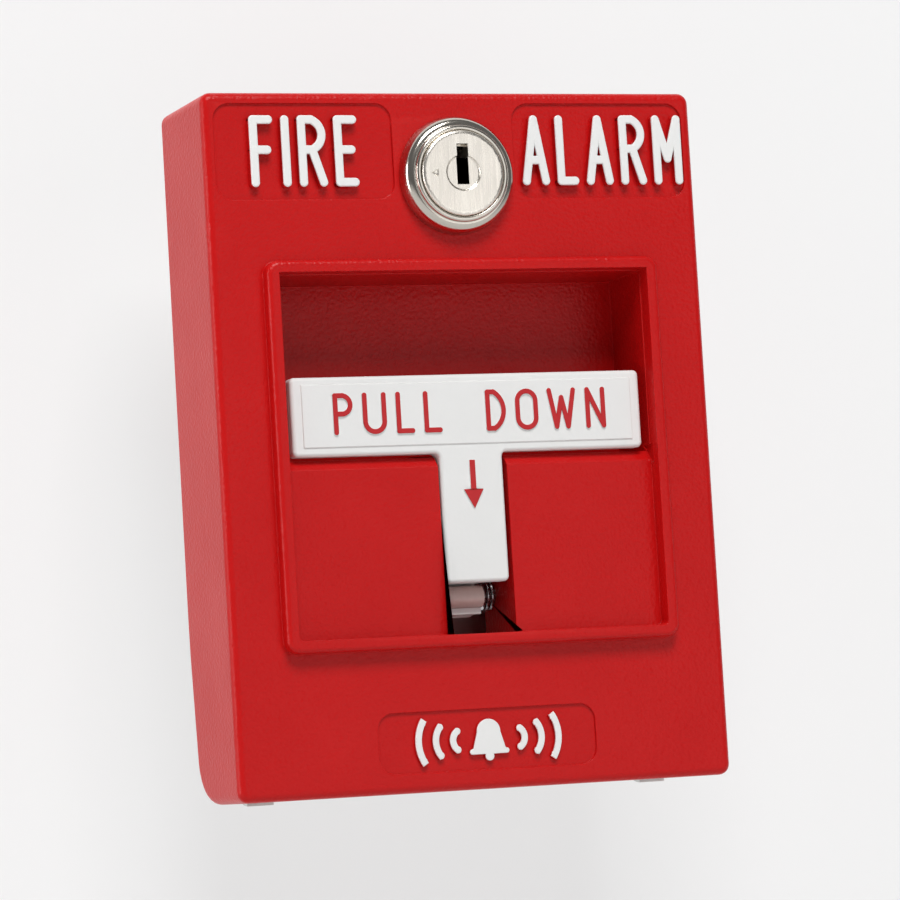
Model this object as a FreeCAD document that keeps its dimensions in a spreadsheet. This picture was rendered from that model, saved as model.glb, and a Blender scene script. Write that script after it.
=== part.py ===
"""Wall-mounted manual fire alarm station: hinged cover, T-shaped pull lever, key lock and alarm switch.

Millimetres.  X runs to the right, Y into the wall and Z up.  The origin is the centre of the back of the
station, on the wall, so the front faces -Y.
"""
import FreeCAD, Part
import os

import Sketcher
from FreeCAD import Placement, Rotation, Vector

doc = FreeCAD.newDocument("PullStation")
sheet = doc.addObject("Spreadsheet::Sheet", "Sizes")

SIZES = {
    # cover
    "width": 95.25, "height": 127.0, "depth": 25.4, "wall": 2.4, "wall_gap": 0.4,
    "corner_round": 2.0, "edge_round": 1.5,
    # fits between pieces
    "run_gap": 0.05, "free_gap": 0.6, "side_play": 0.3,
    # recess, its raised frame and the panels beside the lever; a text is a rule on the sizes above it
    "recess_side": 11.925, "recess_half": "=width / 2 - recess_side", "recess_down": 33.0,
    "recess_up": 28.0,
    "recess_top": "=height / 2 - recess_down", "recess_low": "=recess_up - height / 2",
    "recess_depth": 14.0, "skin": 2.0,
    "frame_rise": 2.8, "frame_wide": 2.2, "frame_round": 0.9,
    "panel_set": 0.5, "panel_deep": 7.4, "panel_bevel": 1.8, "slot_half": 6.9, "slot_lip": 1.2,
    "lip_deep": 2.0,
    # plaques
    "plaque_deep": 0.5, "plaque_round": 3.0, "plaque_down": 2.1, "plaque_tall": 17.5, "plaque_side": 2.025,
    "plaque_high": "=height / 2 - plaque_down", "plaque_low": "=plaque_high - plaque_tall",
    "plaque_in": 11.8, "plaque_out": "=width / 2 - plaque_side",
    "badge_half": 21.0, "badge_up": 3.5, "badge_tall": 11.0,
    "badge_low": "=badge_up - height / 2", "badge_high": "=badge_low + badge_tall",
    # raised words
    "word_high": 13.0, "word_up": 2.2, "word_low": "=plaque_low + word_up", "word_stroke": 1.6,
    "word_rise": 1.1,
    "word_gap": 1.5, "fire_in": 6.3, "fire_from": "=fire_in - plaque_out",
    "alarm_in": 1.1, "alarm_from": "=plaque_in + alarm_in", "sign_rise": 0.4,
    # lever
    "bar_play": 1.8, "bar_half": "=recess_half - bar_play", "bar_up": 33.0,
    "bar_low": "=recess_low + bar_up",
    "bar_tall": 14.3, "bar_high": "=bar_low + bar_tall", "shelf_play": 0.6,
    "panel_top": "=bar_low - shelf_play",
    "lever_thick": 3.2, "lever_set": 0.2,
    "stem_half": 6.1, "stem_up": 9.4, "stem_low": "=recess_low + stem_up", "lever_round": 0.8,
    "panel_rise": 0.25,
    "plate_in": 2.0, "plate_up": 1.6, "plate_down": 1.4,
    "call_high": 7.6, "call_up": 3.7, "call_low": "=bar_low + call_up", "call_stroke": 0.95,
    "call_rise": 0.35,
    "call_gap": 1.8, "pull_from": -26.2, "down_from": 3.1,
    "arrow_down": 1.4, "arrow_long": 5.3, "arrow_head": 3.6, "arrow_top": "=bar_low - arrow_down",
    "arrow_neck": "=arrow_top - arrow_long", "arrow_tip": "=arrow_neck - arrow_head",
    "arrow_half": 1.95, "arrow_line": 0.55,
    # lever pivot, shaft and switch arm
    "pivot_y": -13.5, "pivot_up": 7.5, "pivot_z": "=recess_low + pivot_up", "hub_round": 4.0,
    "hub_right": 2.2, "shaft_round": 1.5,
    "cheek": 2.5, "cheek_round": 4.5, "clip_thick": 0.8, "clip_round": 3.2, "shaft_spare": 0.6,
    "leg_thick": 3.6, "arm_half": 2.0, "arm_long": 6.0, "arm_thick": 3.2,
    "rod_round": 2.0, "rod_inset": 1.0, "rod_out": 6.4, "rod_play": 0.4, "cradle": 1.2,
    "coil_round": 2.6, "coil_wire": 0.35, "coil_turns": 4.0, "coil_leg": 5.0,
    # lock
    "lock_down": 15.5, "lock_z": "=height / 2 - lock_down", "bezel_round": 10.9, "bezel_step": 0.9,
    "bezel_rise": 4.0, "bezel_top_round": 8.6,
    "face_round": 7.9, "face_thick": 1.3, "face_rise": 0.5, "barrel_round": 8.8, "barrel_long": 13.9,
    "core_round": 5.0, "tail_round": 3.0, "tail_long": 4.2, "nut_round": 12.5, "nut_thick": 2.5,
    "key_half": 1.05, "key_up": 5.3, "key_down": 2.0, "key_deep": 14.0, "dish_round": 3.1, "dish_deep": 0.4,
    "cam_long": 9.0, "cam_half": 3.6, "cam_thick": 1.5, "cam_screw_thick": 1.5,
    # base plate
    "plate_thick": 1.6, "plate_foot": 9.8, "plate_low": "=plate_foot - height / 2", "box_pitch": 83.34,
    "box_hole": 2.2,
    "window_half": 21.0, "window_low": 4.0, "window_high": 36.0,
    "catch_half": 6.0, "catch_thick": 1.5, "catch_lip": 5.6, "catch_behind": 0.7,
    # cover hinge
    "hinge_y": -9.0, "hinge_up": 9.0, "ear_in": "=recess_half + side_play", "ear_thick": 5.0,
    "ear_hook": 0.6,
    "knuckle_round": 5.0, "hinge_pin": 1.6, "pin_seat": 3.2,
    # alarm switch
    "switch_long": 27.8, "switch_tall": 15.0, "switch_thick": 10.3, "switch_up": 6.5,
    "switch_low": "=pivot_z + switch_up", "switch_right": 8.8,
    "switch_stand": 2.1, "plunger_round": 1.5, "plunger_out": 2.4, "plunger_in": 5.0, "plunger_room": 2.5,
    "switch_hole_in": 2.9, "switch_hole_up": 2.5, "screw_round": 1.5, "screw_head": 2.7,
    "screw_head_high": 1.6,
    "tab_long": 4.5, "tab_wide": 4.8, "tab_thick": 0.8, "tab_pitch": 6.0,
    # terminal strip and leads
    "strip_left": 14.0, "strip_pole": 5.0, "strip_poles": 4, "strip_drop": 12.0, "strip_tall": 12.0,
    "strip_low": "=pivot_z - strip_drop", "strip_high": "=strip_low + strip_tall", "strip_deep": 10.0,
    "strip_cup": 3.0, "terminal_round": 1.7, "terminal_high": 2.2, "clamp_thick": 0.8,
    "lead_round": 0.9, "lead_bend": 3.0,
}

for row, (alias, number) in enumerate(SIZES.items(), start=1):
    sheet.set(f"A{row}", str(number))
    sheet.setAlias(f"A{row}", alias)
doc.recompute()


def rule(text):
    """Turn a rule written with bare size names into an expression that reads the sheet."""
    words, current = [], ""
    for letter in f"{text} ":
        if letter.isalnum() or letter in "_.":
            current += letter
            continue
        words.append(f"Sizes.{current}" if current in SIZES else current)
        words.append(letter)
        current = ""
    return "".join(words).strip()


def value(text):
    """Number that a rule gives with the sizes now in the sheet."""
    return float(sheet.evalExpression(rule(text)))


# ---------------------------------------------------------------- building blocks

TURN = {"X": Rotation(Vector(0, 1, 0), 90), "Y": Rotation(Vector(1, 0, 0), 90), "Z": Rotation()}


def place(piece, x, y, z):
    for axis, text in (("x", x), ("y", y), ("z", z)):
        piece.setExpression(f"Placement.Base.{axis}", rule(text))
    return piece


def block(name, x, y, z):
    """Box between a low and a high rule on each axis."""
    piece = doc.addObject("Part::Box", name)
    for side, (low, high) in (("Length", x), ("Width", y), ("Height", z)):
        piece.setExpression(side, rule(f"({high}) - ({low})"))
    return place(piece, x[0], y[0], z[0])


def rod(name, axis, radius, start, end, across):
    """Cylinder along an axis from start to end, its centre at the two rules in across."""
    piece = doc.addObject("Part::Cylinder", name)
    piece.setExpression("Radius", rule(radius))
    piece.setExpression("Height", rule(f"({end}) - ({start})"))
    piece.Placement = Placement(Vector(), TURN[axis])
    spots = {"X": (start, across[0], across[1]), "Y": (across[0], end, across[1]),
             "Z": (across[0], across[1], start)}
    return place(piece, *spots[axis])


def fuse(name, pieces):
    joined = doc.addObject("Part::MultiFuse", name)
    joined.Shapes = pieces
    joined.Refine = True
    return joined


def cut(name, base, tools):
    """The base less every tool."""
    tool = tools[0]
    if len(tools) > 1:
        tool = doc.addObject("Part::MultiFuse", f"{name}_tools")
        tool.Shapes = tools
    rest = doc.addObject("Part::Cut", name)
    rest.Base = base
    rest.Tool = tool
    rest.Refine = True
    return rest


def group(name, pieces):
    """Separate solids of one kind in one node."""
    together = doc.addObject("Part::Compound", name)
    together.Links = pieces
    return together


def rounded(name, base, radius, chosen):
    """Fillet on the edges that chosen(edge) picks."""
    doc.recompute()
    piece = doc.addObject("Part::Fillet", name)
    piece.Base = base
    size = value(radius)
    numbers = [i for i, edge in enumerate(base.Shape.Edges, start=1) if chosen(edge)]
    piece.Edges = [(number, size, size) for number in numbers]
    return piece


def runs_along(edge, axis):
    """True for a straight edge along an axis."""
    if edge.Curve.TypeId != "Part::GeomLine":
        return False
    way = edge.tangentAt(edge.FirstParameter)
    return abs(abs(getattr(way, axis)) - 1) < 1e-6


def lies_at(edge, axis, place_rule):
    """True where the whole edge has one coordinate."""
    low = getattr(edge.BoundBox, f"{axis.upper()}Min")
    high = getattr(edge.BoundBox, f"{axis.upper()}Max")
    level = value(place_rule)
    return abs(low - level) < 1e-4 and abs(high - level) < 1e-4


def new_body(name):
    return doc.addObject("PartDesign::Body", name)


def outline(body, name, role, offset, corners):
    """Sketch of straight lines through corners given as pairs of rules, offset along the plane's normal."""
    sketch = body.newObject("Sketcher::SketchObject", name)
    plane = [feature for feature in body.Origin.OriginFeatures if feature.Role == role][0]
    sketch.AttachmentSupport = [(plane, "")]
    sketch.MapMode = "FlatFace"
    sketch.setExpression("AttachmentOffset.Base.z", rule(offset))
    spots = [Vector(value(x), value(y), 0) for x, y in corners]
    count = len(spots)
    for index, spot in enumerate(spots):
        sketch.addGeometry(Part.LineSegment(spot, spots[(index + 1) % count]), False)
    for index in range(count):
        sketch.addConstraint(Sketcher.Constraint("Coincident", index, 2, (index + 1) % count, 1))
    for index, (x, y) in enumerate(corners):
        for kind, text in (("DistanceX", x), ("DistanceY", y)):
            number = sketch.addConstraint(Sketcher.Constraint(kind, -1, 1, index, 1, value(text)))
            sketch.setExpression(f"Constraints[{number}]", rule(text))
    return sketch


def rectangle(x, z):
    return [(x[0], z[0]), (x[1], z[0]), (x[1], z[1]), (x[0], z[1])]


def pad(body, name, sketch, length, backwards=False):
    feature = body.newObject("PartDesign::Pad", name)
    feature.Profile = sketch
    feature.Reversed = backwards
    feature.setExpression("Length", rule(length))
    return feature


def pocket(body, name, sketch, length, backwards=False):
    feature = body.newObject("PartDesign::Pocket", name)
    feature.Profile = sketch
    feature.Reversed = backwards
    feature.setExpression("Length", rule(length))
    return feature


def soften(body, name, radius, chosen):
    """Fillet on the edges of the body's latest shape that chosen(edge) picks."""
    doc.recompute()
    base = body.Tip
    edges = [f"Edge{i}" for i, edge in enumerate(base.Shape.Edges, start=1) if chosen(edge)]
    feature = body.newObject("PartDesign::Fillet", name)
    feature.Base = (base, edges)
    feature.setExpression("Radius", rule(radius))
    return feature


def turned(name, profile, z):
    """Body turned about a line along Y at the height z; the profile holds (y, radius) rules."""
    body = new_body(name)
    sketch = outline(body, f"{name}_profile", "YZ_Plane", "0", profile)
    feature = body.newObject("PartDesign::Revolution", f"{name}_turned")
    feature.Profile = sketch
    feature.ReferenceAxis = (sketch, ["H_Axis"])
    feature.Angle = 360
    place(body, "0", "0", z)
    return body


# ---------------------------------------------------------------- raised words

# Each letter is a list of strokes in a unit cell; a triple of points after "arc" bends through the middle one.
LETTERS = {
    "A": [[(0, 0), (0.5, 1), (1, 0)], [(0.19, 0.34), (0.81, 0.34)]],
    "D": [[(0, 0), (0, 1), (0.4, 1), "arc", (1, 0.5), (0.4, 0), (0, 0)]],
    "E": [[(1, 0), (0, 0), (0, 1), (1, 1)], [(0, 0.52), (0.85, 0.52)]],
    "F": [[(0, 0), (0, 1), (1, 1)], [(0, 0.52), (0.85, 0.52)]],
    "I": [[(0, 0), (0, 1)]],
    "L": [[(0, 1), (0, 0), (1, 0)]],
    "M": [[(0, 0), (0, 1), (0.5, 0.36), (1, 1), (1, 0)]],
    "N": [[(0, 0), (0, 1), (1, 0), (1, 1)]],
    "O": [[(0, 0.27), (0, 0.73), "arc", (0.5, 1), (1, 0.73), (1, 0.27), "arc", (0.5, 0), (0, 0.27)]],
    "P": [[(0, 0), (0, 1)], [(0, 1), (0.5, 1), "arc", (1, 0.75), (0.5, 0.5), (0, 0.5)]],
    "R": [[(0, 0), (0, 1)], [(0, 1), (0.5, 1), "arc", (1, 0.76), (0.5, 0.52), (0, 0.52)], [(0.5, 0.52), (1, 0)]],
    "U": [[(0, 1), (0, 0.27), "arc", (0.5, 0), (1, 0.27), (1, 1)]],
    "W": [[(0, 1), (0.26, 0), (0.5, 0.8), (0.74, 0), (1, 1)]],
}


def stroke_edges(stroke, spot):
    """Edges through the points of one stroke, with spot(point) giving each point's place."""
    edges, index = [], 0
    while index < len(stroke) - 1:
        if stroke[index + 1] == "arc":
            bend = Part.Arc(spot(stroke[index]), spot(stroke[index + 2]), spot(stroke[index + 3]))
            edges.append(bend.toShape())
            index += 3
        else:
            edges.append(Part.LineSegment(spot(stroke[index]), spot(stroke[index + 1])).toShape())
            index += 1
    return edges


def stroke_face(edges, half):
    """Round-ended band of even width about the edges of one stroke, in a plane across Y."""
    if len(edges) == 1 and edges[0].Curve.TypeId == "Part::GeomLine":
        return straight_face(edges[0].firstVertex().Point, edges[0].lastVertex().Point, half)
    wire = Part.Wire(edges)
    if wire.isClosed():
        outer, inner = [Part.Face(wire.makeOffset2D(reach)) for reach in (half, -half)]
        return outer.cut(inner)
    return Part.Face(wire.makeOffset2D(half))


def straight_face(start, end, half):
    along = (end - start).normalize() * half
    side = along.cross(Vector(0, 1, 0))
    return Part.Face(Part.Wire([
        Part.LineSegment(start + side, end + side).toShape(), Part.Arc(end + side, end + along, end - side).toShape(),
        Part.LineSegment(end - side, start - side).toShape(),
        Part.Arc(start - side, start - along, start + side).toShape()]))


def raised_word(name, word, widths, start, low, high, stroke, gap, floor, rise):
    """Word of round-ended strokes between the heights low and low + high, standing rise in front of floor."""
    half = stroke / 2
    solids, left = [], start
    for letter, wide in zip(word, widths):
        def spot(point, left=left, wide=wide):
            return Vector(left + half + point[0] * (wide - stroke), floor, low + half + point[1] * (high - stroke))

        bands = [stroke_face(stroke_edges(line, spot), half).extrude(Vector(0, -rise, 0)) for line in LETTERS[letter]]
        solid = bands[0]
        for band in bands[1:]:
            solid = solid.fuse(band)
        solids.append(solid.removeSplitter())
        left += wide + gap
    piece = doc.addObject("Part::Feature", name)
    piece.Shape = Part.makeCompound(solids)
    return piece


# ---------------------------------------------------------------- front cover

FACE = "-depth"
INNER_FACE = "-(depth - wall)"
INNER_HALF = "(width / 2 - wall)"
FLOOR = "-(depth - recess_depth)"
PANEL_FACE = "-(depth - panel_set)"
PANEL_BACK = "-(depth - panel_set - panel_deep)"
HINGE_Z = "(hinge_up - height / 2)"
TOP, BOTTOM = "height / 2", "-height / 2"


def cover_shell():
    """Five-sided box, open to the wall, with rounded front edges and a rounded lower rear corner."""
    body = new_body("cover_shell")
    around = rectangle(("-width / 2", "width / 2"), (BOTTOM, TOP))
    pad(body, "cover_block", outline(body, "cover_outline", "XZ_Plane", "wall_gap", around), "depth - wall_gap")
    soften(body, "lower_rear_round", "hinge_up - wall_gap",
           lambda edge: lies_at(edge, "y", "-wall_gap") and lies_at(edge, "z", BOTTOM))
    soften(body, "corner_rounds", "corner_round", lambda edge: runs_along(edge, "y"))
    soften(body, "front_round", "edge_round", lambda edge: lies_at(edge, "y", FACE))
    inside = rectangle((f"-{INNER_HALF}", INNER_HALF), (f"{BOTTOM} + wall", f"{TOP} - wall"))
    hollow = outline(body, "hollow_outline", "XZ_Plane", "0", inside)
    pocket(body, "hollow", hollow, "depth - wall", backwards=True)
    return body


def plaque(name, x, z, deep, radius):
    """Rounded block that sinks one plaque below the face."""
    base = block(f"{name}_block", x, (f"{FACE} - 1", f"{FACE} + {deep}"), z)
    return rounded(name, base, radius, lambda edge: runs_along(edge, "y"))


def front_cover():
    shell = cover_shell()
    mouth = block("face_mouth", ("-recess_half", "recess_half"), (f"{FACE} - 1", f"{INNER_FACE} + 1"),
                  ("recess_low", "recess_top"))
    low_gap = block("rear_gap", (f"-{INNER_HALF}", INNER_HALF), ("hinge_y", "1"), (f"{BOTTOM} - 1", "plate_low"))
    notches = [block(f"hinge_notch_{side}", sides, ("hinge_y - 8", "hinge_y + 1"), (f"{BOTTOM} - 1", f"{BOTTOM} + 3"))
               for side, sides in (("left", ("-ear_in - ear_thick - side_play", "-ear_in + side_play")),
                                   ("right", ("ear_in - side_play", "ear_in + ear_thick + side_play")))]
    lock_hole = rod("lock_hole", "Y", "barrel_round + run_gap", f"{FACE} - 1", "0", ("0", "lock_z"))
    panes = [
        plaque("fire_plaque", ("-plaque_out", "-plaque_in"), ("plaque_low", "plaque_high"), "plaque_deep",
               "plaque_round"),
        plaque("alarm_plaque", ("plaque_in", "plaque_out"), ("plaque_low", "plaque_high"), "plaque_deep",
               "plaque_round"),
        plaque("badge_plaque", ("-badge_half", "badge_half"), ("badge_low", "badge_high"), "plaque_deep",
               "plaque_round"),
    ]
    relief = block("stem_relief", ("-slot_half", "slot_half"), (f"{FACE} + slot_lip", "0"),
                   ("recess_low - skin - 1", "recess_low + 1"))
    front = cut("pierced_shell", shell, [mouth, low_gap, lock_hole, relief] + notches + panes)

    tub = block("tub_outer", ("-recess_half - skin", "recess_half + skin"), (PANEL_FACE, f"{FLOOR} + skin"),
                ("recess_low - skin", "recess_top + skin"))
    finger = block("finger_room", ("-recess_half", "recess_half"), (f"{FACE} - 9", FLOOR), ("panel_top", "recess_top"))
    slot = block("lever_slot", ("-slot_half", "slot_half"), (f"{PANEL_FACE} + lip_deep", "0"),
                 ("recess_low", "panel_top + 1"))
    slot_mouth = block("slot_mouth", ("-stem_half - side_play", "slot_half"),
                       (f"{FACE} - 9", f"{PANEL_FACE} + lip_deep + 1"), ("recess_low", "panel_top + 1"))
    slot_low = block("lever_slot_low", ("-slot_half", "slot_half"), (f"{FACE} + slot_lip", "0"),
                     ("recess_low - skin - 1", "recess_low + 1"))
    behind = block("behind_panels", ("-recess_half - skin - 1", "recess_half + skin + 1"), (PANEL_BACK, "0"),
                   ("recess_low - skin - 1", "panel_top - skin"))
    hollows = [block(f"panel_hollow_{side}", x, (f"{PANEL_FACE} + skin", "0"),
                     ("recess_low", "panel_top - panel_bevel - skin"))
               for side, x in (("left", ("-recess_half", "-slot_half - skin")),
                               ("right", ("slot_half + skin", "recess_half")))]
    bevel = new_body("panel_bevel")
    slope = [(f"{PANEL_FACE} - 1", "panel_top - panel_bevel - 1"), (f"{PANEL_FACE} - 1", "panel_top + 1"),
             (f"{PANEL_FACE} + panel_bevel + 1", "panel_top + 1")]
    pad(bevel, "bevel_wedge", outline(bevel, "bevel_outline", "YZ_Plane", "-recess_half", slope), "2 * recess_half")
    tub_open = cut("recess_tub", tub, [finger, slot, slot_mouth, slot_low, behind, bevel] + hollows)

    ring_outer = block("frame_outer", ("-recess_half - frame_wide", "recess_half + frame_wide"),
                       (f"{FACE} - frame_rise", f"{FACE} + 0.5"), ("recess_low - frame_wide", "recess_top + frame_wide"))
    ring_inner = block("frame_inner", ("-recess_half", "recess_half"), (f"{FACE} - 9", f"{FACE} + 9"),
                       ("recess_low", "recess_top"))
    ring = rounded("raised_frame", cut("square_frame", ring_outer, [ring_inner]), "frame_round",
                   lambda edge: lies_at(edge, "y", f"{FACE} - frame_rise"))

    cheeks = []
    for side, x in (("left", ("-slot_half - cheek", "-slot_half")), ("right", ("slot_half", "slot_half + cheek"))):
        cheeks.append(block(f"cheek_{side}", x, (f"{PANEL_FACE} + 1", "pivot_y"),
                            ("pivot_z - cheek_round", "pivot_z + cheek_round")))
        cheeks.append(rod(f"cheek_eye_{side}", "X", "cheek_round", x[0], x[1], ("pivot_y", "pivot_z")))
    knuckles = [rod(f"knuckle_{side}", "X", "knuckle_round", x[0], x[1], ("hinge_y", HINGE_Z))
                for side, x in (("left", (f"-{INNER_HALF} - 1", "-ear_in - ear_thick - side_play")),
                                ("right", ("ear_in + ear_thick + side_play", f"{INNER_HALF} + 1")))]

    plaque_floor = value("plaque_deep - depth")
    rise = value("plaque_deep + word_rise")
    letters = [value(name) for name in ("word_low", "word_high", "word_stroke", "word_gap")]
    low, high, stroke, gap = letters
    fire = raised_word("fire_word", "FIRE", (4.5, stroke, 5.4, 4.5), value("fire_from"), low, high, stroke, gap,
                       plaque_floor, rise)
    alarm = raised_word("alarm_word", "ALARM", (5.4, 4.3, 5.4, 5.2, 5.8), value("alarm_from"), low, high, stroke,
                        gap, plaque_floor, rise)

    whole = fuse("cover_with_words", [front, tub_open, ring, fire, alarm, bell_sign()] + cheeks + knuckles)
    bores = [rod("shaft_bore", "X", "shaft_round + run_gap", "-recess_half", "recess_half", ("pivot_y", "pivot_z"))]
    bores += [rod(f"hinge_bore_{side}", "X", "hinge_pin + run_gap", x[0], x[1], ("hinge_y", HINGE_Z))
              for side, x in (("left", ("-ear_in - ear_thick - side_play - pin_seat - 0.2", "-ear_in")),
                              ("right", ("ear_in", "ear_in + ear_thick + side_play + pin_seat + 0.2")))]
    return cut("front_cover", whole, bores)


def bell_sign():
    """Bell with three sound waves on each side, raised in the lower plaque."""
    floor = value("plaque_deep - depth")
    rise = value("plaque_deep + sign_rise")
    middle = value("(badge_low + badge_high) / 2")
    reach = value("(badge_high - badge_low) / 2")
    half = reach * 0.11

    def at(x, z):
        return Vector(x * reach, floor, middle + z * reach)

    skirt = [Part.LineSegment(at(-0.62, -0.42), at(0.62, -0.42)).toShape(),
             Part.LineSegment(at(0.62, -0.42), at(0.4, -0.1)).toShape(),
             Part.LineSegment(at(0.4, -0.1), at(0.4, 0.25)).toShape(),
             Part.Arc(at(0.4, 0.25), at(0, 0.66), at(-0.4, 0.25)).toShape(),
             Part.LineSegment(at(-0.4, 0.25), at(-0.4, -0.1)).toShape(),
             Part.LineSegment(at(-0.4, -0.1), at(-0.62, -0.42)).toShape()]
    away = Vector(0, -rise, 0)
    solids = [Part.Face(Part.Wire(skirt)).extrude(away)]
    solids.append(Part.makeCylinder(reach * 0.14, rise, at(0, -0.58), Vector(0, -1, 0)))
    for side in (-1, 1):
        for wave in (1, 2, 3):
            out = 0.5 + 0.6 * wave
            tall = 0.15 + 0.16 * wave
            arc = Part.Arc(at(side * out, -tall), at(side * (out + 0.16), 0), at(side * out, tall)).toShape()
            solids.append(stroke_face([arc], half).extrude(away))
    piece = doc.addObject("Part::Feature", "bell_sign")
    piece.Shape = Part.makeCompound(solids)
    return piece


# ---------------------------------------------------------------- pull lever and what it carries

LEVER_FACE = "-(depth - lever_set)"
LEVER_BACK = "-(depth - lever_set - lever_thick)"
ROD_Z = "(stem_low - rod_play - rod_round)"


def pull_lever():
    body = new_body("lever_handle")
    shape = [("-bar_half", "bar_low"), ("-stem_half", "bar_low"), ("-stem_half", "stem_low"),
             ("stem_half", "stem_low"), ("stem_half", "bar_low"), ("bar_half", "bar_low"),
             ("bar_half", "bar_high"), ("-bar_half", "bar_high")]
    pad(body, "handle", outline(body, "handle_outline", "XZ_Plane", "depth - lever_set - lever_thick", shape),
        "lever_thick")
    soften(body, "handle_round", "lever_round",
           lambda edge: lies_at(edge, "y", LEVER_FACE) or runs_along(edge, "y"))

    leg = block("lever_leg", ("-stem_half", "hub_right"), (f"{LEVER_BACK} - 1", "pivot_y"),
                ("stem_low", "stem_low + leg_thick"))
    hub = rod("lever_hub", "X", "hub_round", "-stem_half", "hub_right", ("pivot_y", "pivot_z"))
    arm = block("switch_arm", ("-arm_half", "arm_half"), ("pivot_y", "pivot_y + arm_long"),
                ("pivot_z - arm_thick / 2", "pivot_z + arm_thick / 2"))
    cradle = block("rod_cradle", ("rod_inset - stem_half", "hub_right"), ("pivot_y - rod_out", "pivot_y"),
                   (f"{ROD_Z} - rod_round - cradle", f"{ROD_Z} - rod_round"))
    plate = block("bar_panel", ("plate_in - bar_half", "bar_half - plate_in"),
                  (f"{LEVER_FACE} - panel_rise", f"{LEVER_FACE} + 1"), ("bar_low + plate_up", "bar_high - plate_down"))
    front = value(f"{LEVER_FACE} - panel_rise")
    rise = value("call_rise")
    low, high, stroke, gap = [value(name) for name in ("call_low", "call_high", "call_stroke", "call_gap")]
    pull = raised_word("pull_word", "PULL", (3.8, 4.6, 3.5, 3.5), value("pull_from"), low, high, stroke, gap,
                       front, rise)
    down = raised_word("down_word", "DOWN", (4.0, 4.5, 5.7, 4.0), value("down_from"), low, high, stroke, gap,
                       front, rise)
    whole = fuse("lever_whole", [body, leg, hub, arm, cradle, plate, pull, down, arrow_sign(rise)])
    bore = rod("lever_bore", "X", "shaft_round + run_gap", "-recess_half", "recess_half", ("pivot_y", "pivot_z"))
    return cut("pull_lever", whole, [bore])


def arrow_sign(rise):
    """Arrow that points down the stem."""
    front = value(LEVER_FACE)
    line, half = value("arrow_line"), value("arrow_half")
    top, neck, tip = value("arrow_top"), value("arrow_neck"), value("arrow_tip")
    spots = [(-line, top), (-line, neck), (-half, neck), (0, tip), (half, neck), (line, neck), (line, top), (-line, top)]
    ring = Part.makePolygon([Vector(x, front, z) for x, z in spots])
    piece = doc.addObject("Part::Feature", "arrow_sign")
    piece.Shape = Part.Face(ring).extrude(Vector(0, -rise, 0))
    return piece


def lever_spring():
    """Torsion spring round the shaft, beside the hub, with one leg up and one leg down."""
    wire, mean, turns = value("coil_wire"), value("coil_round"), value("coil_turns")
    start, end = value("hub_right + side_play + coil_wire"), value("slot_half - side_play - coil_wire")
    helix = Part.makeHelix((end - start) / turns, end - start, mean)
    coil_path = Part.Wire(helix.Edges)
    ring = Part.Wire([Part.makeCircle(wire, Vector(mean, 0, 0), Vector(0, 1, 0))])
    coil = coil_path.makePipeShell([ring], True, True)
    legs = [Part.makeCylinder(wire, value("coil_leg"), Vector(mean, 0, height), Vector(0, way, 0))
            for height, way in ((0, -1), (end - start, 1))]
    piece = doc.addObject("Part::Feature", "lever_spring")
    piece.Shape = coil.multiFuse(legs)
    turn = Rotation(Vector(0, 1, 0), 90)
    piece.Placement = Placement(Vector(start, value("pivot_y"), value("pivot_z")), turn)
    return piece


def lever_parts():
    shaft_half = "(slot_half + cheek + clip_thick + shaft_spare)"
    shaft = rod("lever_shaft", "X", "shaft_round", f"-{shaft_half}", shaft_half, ("pivot_y", "pivot_z"))
    clips = []
    for side, x in (("left", ("-slot_half - cheek - clip_thick", "-slot_half - cheek")),
                    ("right", ("slot_half + cheek", "slot_half + cheek + clip_thick"))):
        disc = rod(f"clip_disc_{side}", "X", "clip_round", x[0], x[1], ("pivot_y", "pivot_z"))
        eye = rod(f"clip_eye_{side}", "X", "shaft_round", f"{x[0]} - 1", f"{x[1]} + 1", ("pivot_y", "pivot_z"))
        mouth = block(f"clip_mouth_{side}", (f"{x[0]} - 1", f"{x[1]} + 1"), ("pivot_y", "pivot_y + 5"),
                      ("pivot_z - shaft_round * 0.8", "pivot_z + shaft_round * 0.8"))
        clips.append(cut(f"clip_{side}", disc, [eye, mouth]))
    break_rod = rod("break_rod", "X", "rod_round", "rod_inset - stem_half", "hub_right",
                    ("pivot_y - rod_out", ROD_Z))
    return [shaft, group("shaft_clips", clips), break_rod]


# ---------------------------------------------------------------- lock

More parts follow.
